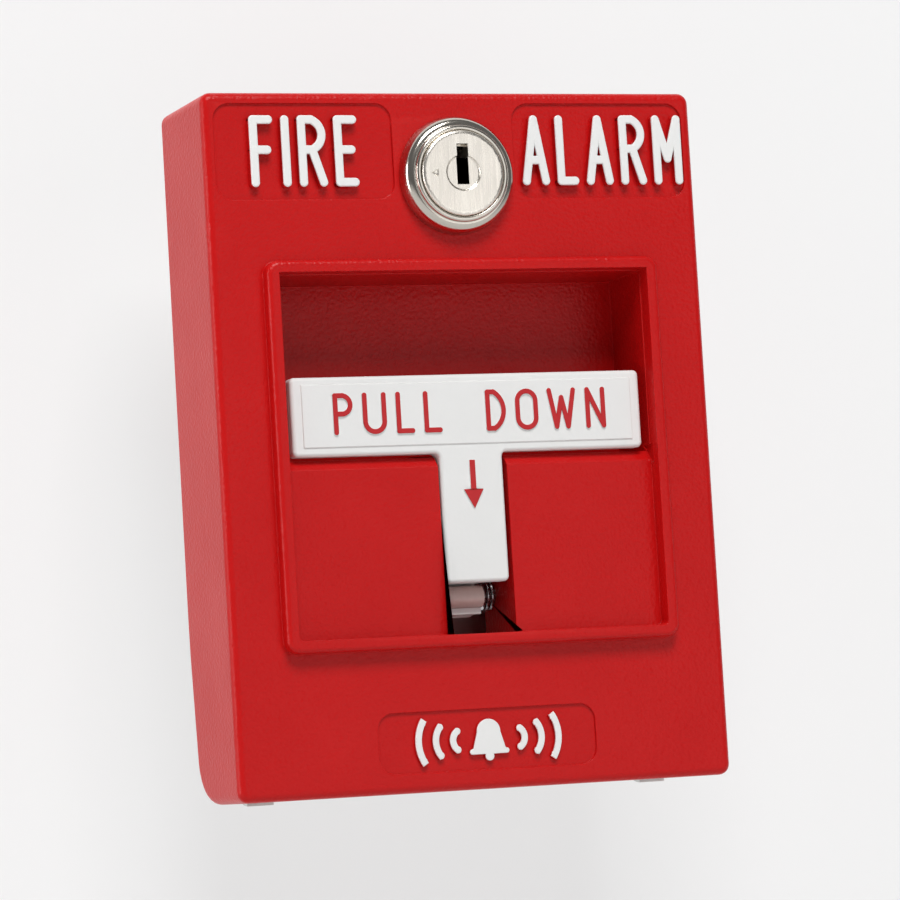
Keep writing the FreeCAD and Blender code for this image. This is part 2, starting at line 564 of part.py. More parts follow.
def lock_parts():
    rise = "(depth + bezel_rise)"
    seat = f"-{rise} + face_thick"
    barrel_end = "barrel_long - depth"
    barrel = turned("lock_barrel", [
        (barrel_end, "core_round + run_gap"), (barrel_end, "barrel_round"), (FACE, "barrel_round"),
        (FACE, "bezel_round"), (f"{FACE} - bezel_step", "bezel_round"),
        (f"{FACE} - bezel_step * 1.6", "bezel_round - 0.35"), (f"{FACE} - bezel_rise * 0.75", "bezel_top_round + 0.75"),
        (f"-{rise}", "bezel_top_round"), (f"-{rise}", "face_round + run_gap"),
        (seat, "face_round + run_gap"), (seat, "core_round + run_gap")], "lock_z")
    face = f"-{rise} - face_rise"
    plug_block = turned("plug_block", [
        (f"{barrel_end} + tail_long", "0"), (f"{barrel_end} + tail_long", "tail_round"),
        (f"{barrel_end} + 0.5", "tail_round"), (f"{barrel_end} + 0.5", "core_round"),
        (f"{seat} - run_gap", "core_round"), (f"{seat} - run_gap", "face_round"),
        (f"{face} + 0.5", "face_round"), (face, "face_round - 0.5"), (face, "0")], "lock_z")
    keyway = block("keyway", ("-key_half", "key_half"), (f"{face} - 1", f"{face} + key_deep"),
                   ("lock_z - key_down", "lock_z + key_up"))
    dish = rod("dish", "Y", "dish_round", f"{face} - 1", f"{face} + dish_deep", ("0", "lock_z"))
    plug = cut("lock_plug", plug_block, [keyway, dish])

    nut_disc = rod("nut_disc", "Y", "nut_round", INNER_FACE, f"{INNER_FACE} + nut_thick", ("0", "lock_z"))
    nut_hole = rod("nut_hole", "Y", "barrel_round", f"{INNER_FACE} - 1", "0", ("0", "lock_z"))
    nut = cut("lock_nut", nut_disc, [nut_hole])

    cam_front = f"({barrel_end} + tail_long - cam_thick)"
    cam_back = f"({barrel_end} + tail_long)"
    cam_strip = block("cam_strip", ("0", "cam_long"), (cam_front, cam_back), ("lock_z - cam_half", "lock_z + cam_half"))
    cam_eye = rod("cam_eye", "Y", "cam_half", cam_front, cam_back, ("0", "lock_z"))
    cam_hole = rod("cam_hole", "Y", "tail_round", f"{cam_front} - 1", f"{cam_back} + 1", ("0", "lock_z"))
    cam = cut("lock_cam", fuse("cam_whole", [cam_strip, cam_eye]), [cam_hole])
    head = rod("cam_screw_head", "Y", "tail_round + 0.5", cam_back, f"{cam_back} + cam_screw_thick", ("0", "lock_z"))
    cross = block("cam_screw_slot", ("-3", "3"), (f"{cam_back} + cam_screw_thick - 0.6", f"{cam_back} + 9"),
                  ("lock_z - 0.4", "lock_z + 0.4"))
    screw = cut("cam_screw", head, [cross])
    return [barrel, plug, nut, cam, screw]


# ---------------------------------------------------------------- base plate and hinge

def base_plate():
    body = new_body("plate_body")
    plate_half = f"({INNER_HALF} - free_gap)"
    plate_top = f"({TOP} - wall - free_gap)"
    flat = rectangle((f"-{plate_half}", plate_half), ("plate_low", plate_top))
    pad(body, "plate", outline(body, "plate_outline", "XZ_Plane", "0", flat), "plate_thick")
    doc.recompute()
    window = rectangle(("-window_half", "window_half"), ("window_low", "window_high"))
    pocket(body, "wire_window", outline(body, "window_outline", "XZ_Plane", "0", window), "plate_thick", True)
    doc.recompute()
    holes = [rod(f"box_hole_{side}", "Y", "box_hole", "-plate_thick - 1", "1", ("0", z))
             for side, z in (("low", "-box_pitch / 2"), ("high", "box_pitch / 2"))]

    barrel_end = "(barrel_long - depth)"
    cam_front = f"({barrel_end} + tail_long - cam_thick)"
    lip_back = f"({cam_front} - catch_behind)"
    shelf = block("catch_shelf", ("-catch_half", "catch_half"), (f"{lip_back} - catch_thick", "-plate_thick / 2"),
                  (f"{plate_top} - catch_thick", plate_top))
    lip = block("catch_lip", ("-catch_half", "catch_half"), (f"{lip_back} - catch_thick", lip_back),
                (f"{plate_top} - catch_lip", plate_top))

    ears = []
    for side, x in (("left", ("-ear_in - ear_thick", "-ear_in")), ("right", ("ear_in", "ear_in + ear_thick"))):
        eye = rod(f"ear_eye_{side}", "X", "hinge_up + ear_hook", x[0], x[1], ("hinge_y", HINGE_Z))
        web = block(f"ear_web_{side}", x, ("hinge_y", "0"), (HINGE_Z, "plate_low + 6"))
        keep = block(f"ear_keep_{side}", (f"{x[0]} - 1", f"{x[1]} + 1"), ("hinge_y", "0"), (f"{HINGE_Z} - 20", HINGE_Z))
        quarter = doc.addObject("Part::Common", f"ear_quarter_{side}")
        quarter.Base = eye
        quarter.Tool = keep
        nose = rod(f"ear_nose_{side}", "X", "knuckle_round", x[0], x[1], ("hinge_y", HINGE_Z))
        ears += [web, quarter, nose]
    posts = [rod(f"switch_post_{number}", "Y", "screw_round * 2", "-plate_thick - switch_stand", "-plate_thick / 2",
                 (x, z)) for number, (x, z) in enumerate(SWITCH_HOLES)]
    whole = fuse("plate_whole", [body, shelf, lip] + ears + posts)
    bores = [rod(f"post_bore_{number}", "Y", "screw_round", "-plate_thick - switch_stand - 1", "1", (x, z))
             for number, (x, z) in enumerate(SWITCH_HOLES)]
    pin_bore = rod("pin_bore", "X", "hinge_pin", "-width", "width", ("hinge_y", HINGE_Z))
    return cut("base_plate", whole, holes + bores + [pin_bore])


def hinge_pins():
    pins = [rod(f"hinge_pin_{side}", "X", "hinge_pin", x[0], x[1], ("hinge_y", HINGE_Z))
            for side, x in (("left", ("-ear_in - ear_thick - side_play - pin_seat", "-ear_in")),
                            ("right", ("ear_in", "ear_in + ear_thick + side_play + pin_seat")))]
    return group("hinge_pins", pins)


# ---------------------------------------------------------------- alarm switch, terminals and leads

SWITCH_BACK = "(-plate_thick - switch_stand)"
SWITCH_FRONT = f"({SWITCH_BACK} - switch_thick)"
SWITCH_LEFT = "(switch_right - switch_long)"
SWITCH_HIGH = "(switch_low + switch_tall)"
SWITCH_MID = f"({SWITCH_BACK} - switch_thick / 2)"
SWITCH_HOLES = [(f"{SWITCH_LEFT} + switch_hole_in", "switch_low + switch_hole_up"),
                ("switch_right - switch_hole_in", f"{SWITCH_HIGH} - switch_hole_up")]


def switch_parts():
    case = block("switch_block", (SWITCH_LEFT, "switch_right"), (SWITCH_FRONT, SWITCH_BACK),
                 ("switch_low", SWITCH_HIGH))
    holes = [rod(f"case_hole_{number}", "Y", "screw_round", f"{SWITCH_FRONT} - 1", "0", spot)
             for number, spot in enumerate(SWITCH_HOLES)]
    well = rod("plunger_well", "Z", "plunger_round + run_gap", "switch_low - 1", "switch_low + plunger_in + plunger_room",
               ("0", SWITCH_MID))
    case = cut("switch_case", case, holes + [well])
    plunger = rod("switch_plunger", "Z", "plunger_round", "switch_low - plunger_out", "switch_low + plunger_in",
                  ("0", SWITCH_MID))
    screws = []
    for number, spot in enumerate(SWITCH_HOLES):
        shank = rod(f"shank_{number}", "Y", "screw_round", SWITCH_FRONT, "0", spot)
        head = rod(f"head_{number}", "Y", "screw_head", f"{SWITCH_FRONT} - screw_head_high", SWITCH_FRONT, spot)
        notch = block(f"head_slot_{number}", (f"{spot[0]} - 4", f"{spot[0]} + 4"),
                      (f"{SWITCH_FRONT} - 9", f"{SWITCH_FRONT} - screw_head_high + 0.6"),
                      (f"{spot[1]} - 0.4", f"{spot[1]} + 0.4"))
        screws.append(cut(f"switch_screw_{number}", fuse(f"screw_whole_{number}", [shank, head]), [notch]))
    tabs = [block(f"tab_{number}", ("switch_right", "switch_right + tab_long"),
                  (f"{SWITCH_MID} - tab_wide / 2", f"{SWITCH_MID} + tab_wide / 2"),
                  (f"{z} - tab_thick / 2", f"{z} + tab_thick / 2"))
            for number, z in enumerate(TAB_HEIGHTS)]
    return [case, plunger, group("switch_screws", screws), group("switch_tabs", tabs)]


TAB_HEIGHTS = ("switch_low + switch_hole_up + 1", "switch_low + switch_hole_up + 1 + tab_pitch")
STRIP_RIGHT = "(strip_left + strip_pole * strip_poles)"
STRIP_FRONT = "(-plate_thick - strip_deep)"


def terminal_parts():
    base = block("strip_block", ("strip_left", STRIP_RIGHT), (STRIP_FRONT, "-plate_thick"), ("strip_low", "strip_high"))
    cups, screws, clamps = [], [], []
    middle = "((strip_low + strip_high) / 2)"
    for pole in range(int(value("strip_poles"))):
        centre = f"(strip_left + strip_pole * {pole + 0.5})"
        cups.append(block(f"cup_{pole}", (f"{centre} - strip_pole / 2 + 0.4", f"{centre} + strip_pole / 2 - 0.4"),
                          (f"{STRIP_FRONT} - 1", f"{STRIP_FRONT} + strip_cup"), ("strip_low - 1", "strip_high + 1")))
        seat = f"({STRIP_FRONT} + strip_cup)"
        clamps.append(block(f"clamp_{pole}", (f"{centre} - strip_pole / 2 + 0.6", f"{centre} + strip_pole / 2 - 0.6"),
                            (f"{seat} - clamp_thick", seat), ("strip_low + 1.5", "strip_high - 1.5")))
        head = rod(f"terminal_head_{pole}", "Y", "terminal_round", f"{seat} - clamp_thick - terminal_high",
                   f"{seat} - clamp_thick", (centre, middle))
        notch = block(f"terminal_slot_{pole}", (f"{centre} - 3", f"{centre} + 3"),
                      (f"{seat} - 9", f"{seat} - clamp_thick - terminal_high + 0.7"),
                      (f"{middle} - 0.35", f"{middle} + 0.35"))
        screws.append(cut(f"terminal_screw_{pole}", head, [notch]))
    return [cut("terminal_block", base, cups), group("terminal_screws", screws), group("terminal_clamps", clamps)]


def lead(name, pole, tab_height):
    """Insulated wire from a switch tab across and down to the top of one terminal pole."""
    radius, bend = value("lead_round"), value("lead_bend")
    x0, y0, z0 = value("switch_right + tab_long"), value(SWITCH_MID), value(tab_height)
    x1 = value(f"strip_left + strip_pole * {pole + 0.5}")
    z1 = value("strip_high")
    corner = Vector(x1, y0, z0)
    start, end = Vector(x0, y0, z0), Vector(x1, y0, z1)
    lean = bend * (1 - 0.5 ** 0.5)
    arc = Part.Arc(corner - Vector(bend, 0, 0), corner - Vector(lean, 0, lean), corner - Vector(0, 0, bend))
    path = Part.Wire([Part.LineSegment(start, corner - Vector(bend, 0, 0)).toShape(), arc.toShape(),
                      Part.LineSegment(corner - Vector(0, 0, bend), end).toShape()])
    ring = Part.Wire([Part.makeCircle(radius, start, Vector(1, 0, 0))])
    piece = doc.addObject("Part::Feature", name)
    piece.Shape = path.makePipeShell([ring], True, True)
    return piece


# ---------------------------------------------------------------- the whole station

nodes = [front_cover(), pull_lever(), base_plate(), hinge_pins(), lever_spring()]
nodes += lever_parts()
nodes += lock_parts()
nodes += switch_parts()
nodes += terminal_parts()
nodes += [lead("common_lead", 1, TAB_HEIGHTS[0]), lead("alarm_lead", 2, TAB_HEIGHTS[1])]
doc.recompute()

for thing in doc.Objects:
    if "Invalid" in thing.State or "Error" in thing.State:
        raise SystemExit(f"{thing.Label} failed: {thing.State} {thing.getStatusString()}")
for node in nodes:
    if node.Shape.isNull() or not node.Shape.isValid():
        raise SystemExit(f"{node.Label} has no valid shape")

os.makedirs("parts", exist_ok=True)
for node in nodes:
    node.Shape.exportStep(f"parts/{node.Label}.step")
    box = node.Shape.BoundBox
    print(f"{node.Label:18s} solids {len(node.Shape.Solids):2d}  volume {node.Shape.Volume:9.1f}  "
          f"x {box.XMin:7.2f} {box.XMax:7.2f}  y {box.YMin:7.2f} {box.YMax:7.2f}  z {box.ZMin:7.2f} {box.ZMax:7.2f}")
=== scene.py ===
# %% [markdown]
# # A wall-mounted fire alarm station
#
# The station is a red moulded cover with a white T-shaped lever and a key lock.  Its frame, its hidden
# mechanism and every moving fit come from the CAD model, which loads first and never moves.  This lesson
# gives the visible pieces the soft edges, raised lettering and surface finish that a moulded product has.

# %% Load the fixed frame
from math import atan2, cos, pi, radians, sin

import bpy
from mathutils import Matrix, Vector


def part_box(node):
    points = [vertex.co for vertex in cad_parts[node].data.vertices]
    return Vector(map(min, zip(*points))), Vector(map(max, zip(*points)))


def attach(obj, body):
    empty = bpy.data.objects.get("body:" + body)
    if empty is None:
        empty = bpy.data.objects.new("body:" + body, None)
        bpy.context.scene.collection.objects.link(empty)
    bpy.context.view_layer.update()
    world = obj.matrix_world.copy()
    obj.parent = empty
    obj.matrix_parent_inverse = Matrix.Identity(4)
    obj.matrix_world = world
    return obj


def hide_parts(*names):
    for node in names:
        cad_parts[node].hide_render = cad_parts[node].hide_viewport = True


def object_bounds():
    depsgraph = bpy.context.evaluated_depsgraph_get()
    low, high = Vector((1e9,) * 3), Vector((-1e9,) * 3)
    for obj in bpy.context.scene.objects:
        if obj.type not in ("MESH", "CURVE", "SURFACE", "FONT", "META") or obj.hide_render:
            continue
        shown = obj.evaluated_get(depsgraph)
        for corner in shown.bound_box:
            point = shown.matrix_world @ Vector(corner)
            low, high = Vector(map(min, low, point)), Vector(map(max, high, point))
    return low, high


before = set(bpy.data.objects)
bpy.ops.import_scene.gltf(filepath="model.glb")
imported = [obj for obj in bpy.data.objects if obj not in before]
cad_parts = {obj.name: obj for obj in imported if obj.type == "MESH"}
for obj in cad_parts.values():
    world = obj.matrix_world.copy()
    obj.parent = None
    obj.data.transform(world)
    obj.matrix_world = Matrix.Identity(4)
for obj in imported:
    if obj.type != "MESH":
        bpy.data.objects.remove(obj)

bpy.ops.object.select_all(action="DESELECT")
CAD_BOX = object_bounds()
MM = 0.001
print("CAD box", [[round(value / MM, 1) for value in corner] for corner in CAD_BOX])

# %% [markdown]
# ## The camera
#
# The camera stands to the left of the station and a little below it, far away, with a long lens, so the
# sides stay almost parallel.  A camera could be aimed by hand, but an angle, a distance and a point to look
# at say the same thing in words that are easy to change.

# %% Camera
CAMERA_AZIMUTH = radians(-20.75)
CAMERA_ELEVATION = radians(-4.36)
CAMERA_ROLL = radians(-3.39)
CAMERA_DISTANCE = 0.7725
CAMERA_AIM = Vector((4.8, -1.8, -0.1)) * MM
CAMERA_LENS = 165.1

turn = (Matrix.Rotation(CAMERA_AZIMUTH, 3, "Z") @ Matrix.Rotation(pi / 2 - CAMERA_ELEVATION, 3, "X")
        @ Matrix.Rotation(CAMERA_ROLL, 3, "Z"))
bpy.ops.object.camera_add(location=CAMERA_AIM + turn @ Vector((0, 0, CAMERA_DISTANCE)),
                          rotation=turn.to_euler())
camera = bpy.context.object
camera.name = "camera"
camera.data.lens = CAMERA_LENS
camera.data.clip_start = 0.01
bpy.context.scene.camera = camera
print("camera at", [round(value, 3) for value in camera.location])

# %% [markdown]
# ## Wall and floor
#
# The station hangs on a wall, so the studio has a pale wall a little way behind it and a pale floor below.
# The wall lets light and sight through from behind, which keeps the back of the station visible: its
# material is transparent wherever a ray meets its rear face, and to shadow rays.  The wall also glows, which
# evens it out, and its reflection is what makes the side of the station look paler than its face.

# %% Studio surfaces
def new_material(name):
    """Empty node material with its Principled BSDF and output."""
    material = bpy.data.materials.new(name)
    material.use_nodes = True
    nodes = material.node_tree.nodes
    return material, nodes, material.node_tree.links, nodes["Principled BSDF"]


def stage_plane(name, size, location, rotation, grey, glow, see_through):
    """Matt glowing plane; see_through clears its rear face and its shadow."""
    bpy.ops.mesh.primitive_plane_add(size=size, location=location, rotation=rotation)
    plane = bpy.context.object
    plane.name = name
    material, nodes, links, shader = new_material(f"{name}_paint")
    shader.inputs["Base Color"].default_value = (grey, grey, grey, 1)
    shader.inputs["Roughness"].default_value = 0.9
    shader.inputs["Specular IOR Level"].default_value = 0.0
    shader.inputs["Emission Color"].default_value = (1, 1, 1, 1)
    shader.inputs["Emission Strength"].default_value = glow
    if see_through:
        geometry = nodes.new("ShaderNodeNewGeometry")
        path = nodes.new("ShaderNodeLightPath")
        either = nodes.new("ShaderNodeMath")
        either.operation = "MAXIMUM"
        clear = nodes.new("ShaderNodeBsdfTransparent")
        mix = nodes.new("ShaderNodeMixShader")
        links.new(geometry.outputs["Backfacing"], either.inputs[0])
        links.new(path.outputs["Is Shadow Ray"], either.inputs[1])
        links.new(either.outputs[0], mix.inputs["Fac"])
        links.new(shader.outputs["BSDF"], mix.inputs[1])
        links.new(clear.outputs["BSDF"], mix.inputs[2])
        links.new(mix.outputs["Shader"], nodes["Material Output"].inputs["Surface"])
    plane.data.materials.append(material)
    bpy.ops.object.select_all(action="DESELECT")


STAGE_SIZE = 4.0
WALL_GAP, WALL_MIDDLE, WALL_GREY, WALL_GLOW = 0.035, 1.2, 0.36, 0.555
FLOOR_DROP, FLOOR_GREY, FLOOR_GLOW = 0.08, 0.5, 0.15
FLOOR_LEVEL = CAD_BOX[0][2] - FLOOR_DROP
stage_plane("studio_wall", STAGE_SIZE, (0, WALL_GAP, WALL_MIDDLE), (pi / 2, 0, 0), WALL_GREY, WALL_GLOW, True)
stage_plane("studio_floor", STAGE_SIZE, (0, 0, FLOOR_LEVEL), (0, 0, 0), FLOOR_GREY, FLOOR_GLOW, False)
print("wall at y", WALL_GAP, "and floor at z", round(FLOOR_LEVEL, 4))

# %% [markdown]
# ## Light
#
# A sun or a ready-made sky would give hard or uneven light.  Area lights are soft by their size, so they do
# the work: a large one high in front for the face, a narrow tall one at the left that grazes the front and
# lights the side wall, a small card that the lock's face mirrors, and one behind for the back.  A weak even
# glow of the world fills the recess.

# %% Lights
AIR_GLOW = 0.15


def area_light(name, location, size, power):
    """Rectangular light that faces the station."""
    way = (-Vector(location)).to_track_quat("-Z", "Y").to_euler()
    bpy.ops.object.light_add(type="AREA", location=location, rotation=way)
    light = bpy.context.object
    light.name = name
    light.data.shape = "RECTANGLE"
    light.data.size, light.data.size_y = size
    light.data.energy = power


area_light("key_light", (-0.10, -0.80, 0.95), (0.6, 0.45), 12.2)
area_light("left_light", (-0.9, -0.07, 0.05), (0.10, 0.7), 2.7)
area_light("card_light", (0.35, -0.93, 0.06), (0.42, 0.42), 0.62)
area_light("rear_light", (0.3, 0.9, 0.6), (0.7, 0.7), 5)

world = bpy.data.worlds.new("studio_air")
world.use_nodes = True
world.node_tree.nodes["Background"].inputs["Color"].default_value = (1, 1, 1, 1)
world.node_tree.nodes["Background"].inputs["Strength"].default_value = AIR_GLOW
bpy.context.scene.world = world
bpy.context.scene.view_settings.view_transform = "Standard"
bpy.ops.object.select_all(action="DESELECT")

# %% [markdown]
# ## Tools for the workbench
#
# Every new piece starts as a cube, a cylinder or a ring, and is shaped in edit mode.  An operator acts on all
# that is selected, so each tool first makes one piece the only selected one.  Faces and edges are picked in
# code by where they are, which survives any change of the numbers.

# %% Start and select pieces
def alone(piece):
    """Make one piece the active and only selected object."""
    if bpy.context.mode != "OBJECT":
        bpy.ops.object.mode_set(mode="OBJECT")
    bpy.ops.object.select_all(action="DESELECT")
    piece.select_set(True)
    bpy.context.view_layer.objects.active = piece


def settle(name):
    """Name the new primitive and move its place, turn and size into its mesh."""
    piece = bpy.context.object
    piece.name = name
    bpy.ops.object.transform_apply(location=True, rotation=True, scale=True)
    return piece


def block(name, x, y, z):
    """Cube between three pairs of limits, in millimetres."""
    middle = [(low + high) / 2 * MM for low, high in (x, y, z)]
    size = [abs(high - low) * MM for low, high in (x, y, z)]
    bpy.ops.mesh.primitive_cube_add(size=1, location=middle, scale=size)
    return settle(name)


def rod(name, axis, radius, along, across, sides=64, spin=0.0):
    """Cylinder on the X or Y axis.  Along gives its two ends, across its other two coordinates."""
    middle, length = sum(along) / 2, abs(along[1] - along[0])
    if axis == "X":
        place, turned_to = (middle, *across), (0, pi / 2, 0)
    else:
        place, turned_to = (across[0], middle, across[1]), (pi / 2, spin, 0)
    bpy.ops.mesh.primitive_cylinder_add(vertices=sides, radius=radius * MM, depth=length * MM,
                                        location=Vector(place) * MM, rotation=turned_to)
    return settle(name)


def pick(piece, kind, rule):
    """Enter edit mode with only the corners, edges or faces selected for which the rule holds."""
    alone(piece)
    bpy.ops.object.mode_set(mode="EDIT")
    bpy.ops.mesh.select_mode(type=kind)
    bpy.ops.mesh.select_all(action="DESELECT")
    bpy.ops.object.mode_set(mode="OBJECT")
    mesh = piece.data
    spots = [corner.co / MM for corner in mesh.vertices]
    if kind == "VERT":
        for corner, spot in zip(mesh.vertices, spots):
            corner.select = rule(spot)
    elif kind == "EDGE":
        for edge in mesh.edges:
            edge.select = rule(*[spots[index] for index in edge.vertices])
    else:
        for face in mesh.polygons:
            face.select = rule(face.center / MM, face.normal)
    bpy.ops.object.mode_set(mode="EDIT")


def round_edges(piece, radius, segments, rule):
    """Bevel the edges for which the rule holds."""
    pick(piece, "EDGE", rule)
    bpy.ops.mesh.bevel(offset=radius * MM, segments=segments, affect="EDGES")
    bpy.ops.object.mode_set(mode="OBJECT")


def near(value, target):
    """Whether two lengths in millimetres are the same to a hundredth."""
    return abs(value - target) < 0.01


def along_y(a, b):
    """Whether an edge runs straight into the wall."""
    return near(a.x, b.x) and near(a.z, b.z)


# %% [markdown]
# ## Joining, cutting and softening
#
# The real moulding tool is a set of blocks, and booleans build a piece in the same way.  A boolean leaves
# doubled corners and razor edges, so every piece is cleaned and gets a small bevel.  The bevel could stay a
# live modifier, but applied it becomes real geometry that any exporter keeps.

# %% Join and cut
def combine(base, others, how):
    """Join the others to a base ("UNION") or cut them out of it ("DIFFERENCE")."""
    tools = bpy.data.collections.new("tools")
    for other in others:
        tools.objects.link(other)
    alone(base)
    modifier = base.modifiers.new("combine", "BOOLEAN")
    modifier.operation = how
    modifier.solver = "EXACT"
    modifier.operand_type = "COLLECTION"
    modifier.collection = tools
    bpy.ops.object.modifier_apply(modifier="combine")
    for other in others:
        bpy.data.objects.remove(other)
    bpy.data.collections.remove(tools)
    tidy_mesh(base)
    return base


def tidy_mesh(piece):
    """Merge doubled corners and drop edges that lie inside flat faces."""
    pick(piece, "VERT", lambda spot: True)
    bpy.ops.mesh.remove_doubles(threshold=0.004 * MM)
    bpy.ops.mesh.dissolve_limited(angle_limit=radians(0.5))
    bpy.ops.object.mode_set(mode="OBJECT")


# %% Soften and shade
def soften(piece, width, segments=2, angle=32):
    """Give every sharp edge a small round, as a moulding or a polished casting has."""
    alone(piece)
    modifier = piece.modifiers.new("soft_edges", "BEVEL")
    modifier.width = width * MM
    modifier.segments = segments
    modifier.limit_method = "ANGLE"
    modifier.angle_limit = radians(angle)
    modifier.use_clamp_overlap = False
    bpy.ops.object.modifier_apply(modifier="soft_edges")


FLAT_AREA, FLAT_TILT = 0.8, radians(20)


def smooth(piece, angle=50):
    """Shade smooth below an angle, with the large faces setting the normals so that they stay flat."""
    alone(piece)
    bpy.ops.object.shade_smooth_by_angle(angle=radians(angle))
    modifier = piece.modifiers.new("flat_faces", "WEIGHTED_NORMAL")
    modifier.keep_sharp = True
    modifier.weight = 80
    bpy.ops.object.modifier_apply(modifier="flat_faces")
    # Where crowded edges still tip a corner of a large face, that corner gets the face's own direction.
    mesh = piece.data
    ways = [corner.vector.copy() for corner in mesh.corner_normals]
    for face in mesh.polygons:
        if face.area > FLAT_AREA * MM * MM:
            for corner in face.loop_indices:
                if ways[corner].angle(face.normal, 0) > FLAT_TILT:
                    ways[corner] = face.normal.copy()
    mesh.normals_split_custom_set(ways)


# %% Count and report
def open_edges(piece):
    """Number of edges that don't join exactly two faces: none on a closed piece."""
    uses = {}
    for face in piece.data.polygons:
        for key in face.edge_keys:
            uses[key] = uses.get(key, 0) + 1
    return sum(1 for count in uses.values() if count != 2)


def report(piece):
    """Print the faces, the open edges and the size in millimetres, and hand the piece back."""
    spots = [corner.co / MM for corner in piece.data.vertices]
    size = [round(max(spot[axis] for spot in spots) - min(spot[axis] for spot in spots), 2)
            for axis in range(3)]
    print(f"{piece.name}: {len(piece.data.polygons)} faces, {open_edges(piece)} open edges, size {size}")
    return piece


# %% [markdown]
# ## Raised letters
#
# The words are strokes of even width with round ends.  A text object would need a font that has this shape,
# so each letter is drawn from straight bars and bent bands instead: a cylinder whose front half is moved
# along makes a bar, and a small upright rectangle spun about a centre makes a band.  A bevel rounds the front
# edges of each stroke, and the strokes of a word overlap like beads of one moulding.

# %% Letter shapes
# Each letter is a list of strokes in a unit cell; "arc" bends from the point before it through the next
# point.
LETTERS = {
    "A": [[(0, 0), (0.5, 1), (1, 0)], [(0.19, 0.34), (0.81, 0.34)]],
    "D": [[(0, 0), (0, 1), (0.4, 1), "arc", (1, 0.5), (0.4, 0), (0, 0)]],
    "E": [[(1, 0), (0, 0), (0, 1), (1, 1)], [(0, 0.52), (0.85, 0.52)]],
    "F": [[(0, 0), (0, 1), (1, 1)], [(0, 0.52), (0.85, 0.52)]],
    "I": [[(0, 0), (0, 1)]],
    "L": [[(0, 1), (0, 0), (1, 0)]],
    "M": [[(0, 0), (0, 1), (0.5, 0.36), (1, 1), (1, 0)]],
    "N": [[(0, 0), (0, 1), (1, 0), (1, 1)]],
    "O": [[(0, 0.27), (0, 0.73), "arc", (0.5, 1), (1, 0.73), (1, 0.27), "arc", (0.5, 0), (0, 0.27)]],
    "P": [[(0, 0), (0, 1), (0.5, 1), "arc", (1, 0.75), (0.5, 0.5), (0, 0.5)]],
    "R": [[(0, 0), (0, 1), (0.5, 1), "arc", (1, 0.76), (0.5, 0.52), (0, 0.52)], [(0.5, 0.52), (1, 0)]],
    "U": [[(0, 1), (0, 0.27), "arc", (0.5, 0), (1, 0.27), (1, 1)]],
    "W": [[(0, 1), (0.26, 0), (0.5, 0.8), (0.74, 0), (1, 1)]],
}
print("letters drawn:", "".join(LETTERS))

# %% Bars
BAR_SIDES = 24


def level(piece, y):
    """Put every corner exactly on one of two depths, so that faces meant to be flush are flush."""
    for corner in piece.data.vertices:
        corner.co.y = min(y, key=lambda depth: abs(corner.co.y - depth * MM)) * MM
    return piece


def bar(start, end, half, y):
    """Round-ended bar between two (x, z) points, between two depths."""
    run = Vector((end[0] - start[0], 0, end[1] - start[1]))
    heading = -atan2(run.z, run.x) + pi / BAR_SIDES
    piece = rod("bar", "Y", half, y, start, BAR_SIDES, heading)
    base = Vector((start[0], 0, start[1]))
    pick(piece, "VERT", lambda spot: (spot - base).dot(run) > 0)
    bpy.ops.transform.translate(value=run * MM)
    bpy.ops.object.mode_set(mode="OBJECT")
    return level(piece, y)


# %% Bands
# A band is a hair narrower than a bar and runs a little into it, so that no two faces lie on each other.
BAND_SHARE = 0.985
BAND_OVERRUN = radians(5)


def band(start, through, end, half, y, steps=14):
    """Band of even width that bends from start to end through a third point."""
    (ax, az), (bx, bz), (cx, cz) = start, through, end
    twist = 2 * (ax * (bz - cz) + bx * (cz - az) + cx * (az - bz))
    a, b, c = ax * ax + az * az, bx * bx + bz * bz, cx * cx + cz * cz
    mid_x = (a * (bz - cz) + b * (cz - az) + c * (az - bz)) / twist
    mid_z = (a * (cx - bx) + b * (ax - cx) + c * (bx - ax)) / twist
    first, last = atan2(az - mid_z, ax - mid_x), atan2(cz - mid_z, cx - mid_x)
    sweep = (last - first) % (2 * pi)
    if twist < 0:
        sweep -= 2 * pi
    overrun = BAND_OVERRUN * (1 if sweep > 0 else -1)
    first, sweep = first - overrun, sweep + 2 * overrun
    reach = ((ax - mid_x) ** 2 + (az - mid_z) ** 2) ** 0.5
    begin = Vector((mid_x + reach * cos(first), sum(y) / 2, mid_z + reach * sin(first)))
    bpy.ops.mesh.primitive_plane_add(size=1, location=begin * MM, rotation=(0, -first, 0))
    bpy.context.object.scale = (2 * BAND_SHARE * half * MM, abs(y[1] - y[0]) * MM, 1)
    piece = settle("band")
    piece_spin(piece, (mid_x, 0, mid_z), sweep, steps)
    return level(piece, y)


def piece_spin(piece, centre, angle, steps):
    """Sweep the whole piece about an upright axis through a centre, and close it."""
    alone(piece)
    bpy.ops.object.mode_set(mode="EDIT")
    bpy.ops.mesh.select_all(action="SELECT")
    bpy.ops.mesh.spin(steps=steps, angle=angle, center=Vector(centre) * MM, axis=(0, 1, 0))
    bpy.ops.mesh.select_all(action="SELECT")
    bpy.ops.mesh.remove_doubles(threshold=0.001 * MM)
    bpy.ops.mesh.normals_make_consistent(inside=False)
    bpy.ops.mesh.dissolve_limited(angle_limit=radians(0.5))
    bpy.ops.object.mode_set(mode="OBJECT")


# %% [markdown]
# ## Words
#
# The strokes of one word are joined as one object.  A boolean would weld them, but many rounded strokes that
# meet at one point make it fail, so each stroke stays closed and its front is lifted a hair above its
# neighbour's, which keeps their faces apart.

# %% Words
HAIR = 0.012


def join(name, pieces):
    """Join pieces as one object under a name."""
    alone(pieces[0])
    for piece in pieces:
        piece.select_set(True)
    bpy.ops.object.join()
    bpy.context.object.name = name
    return bpy.context.object


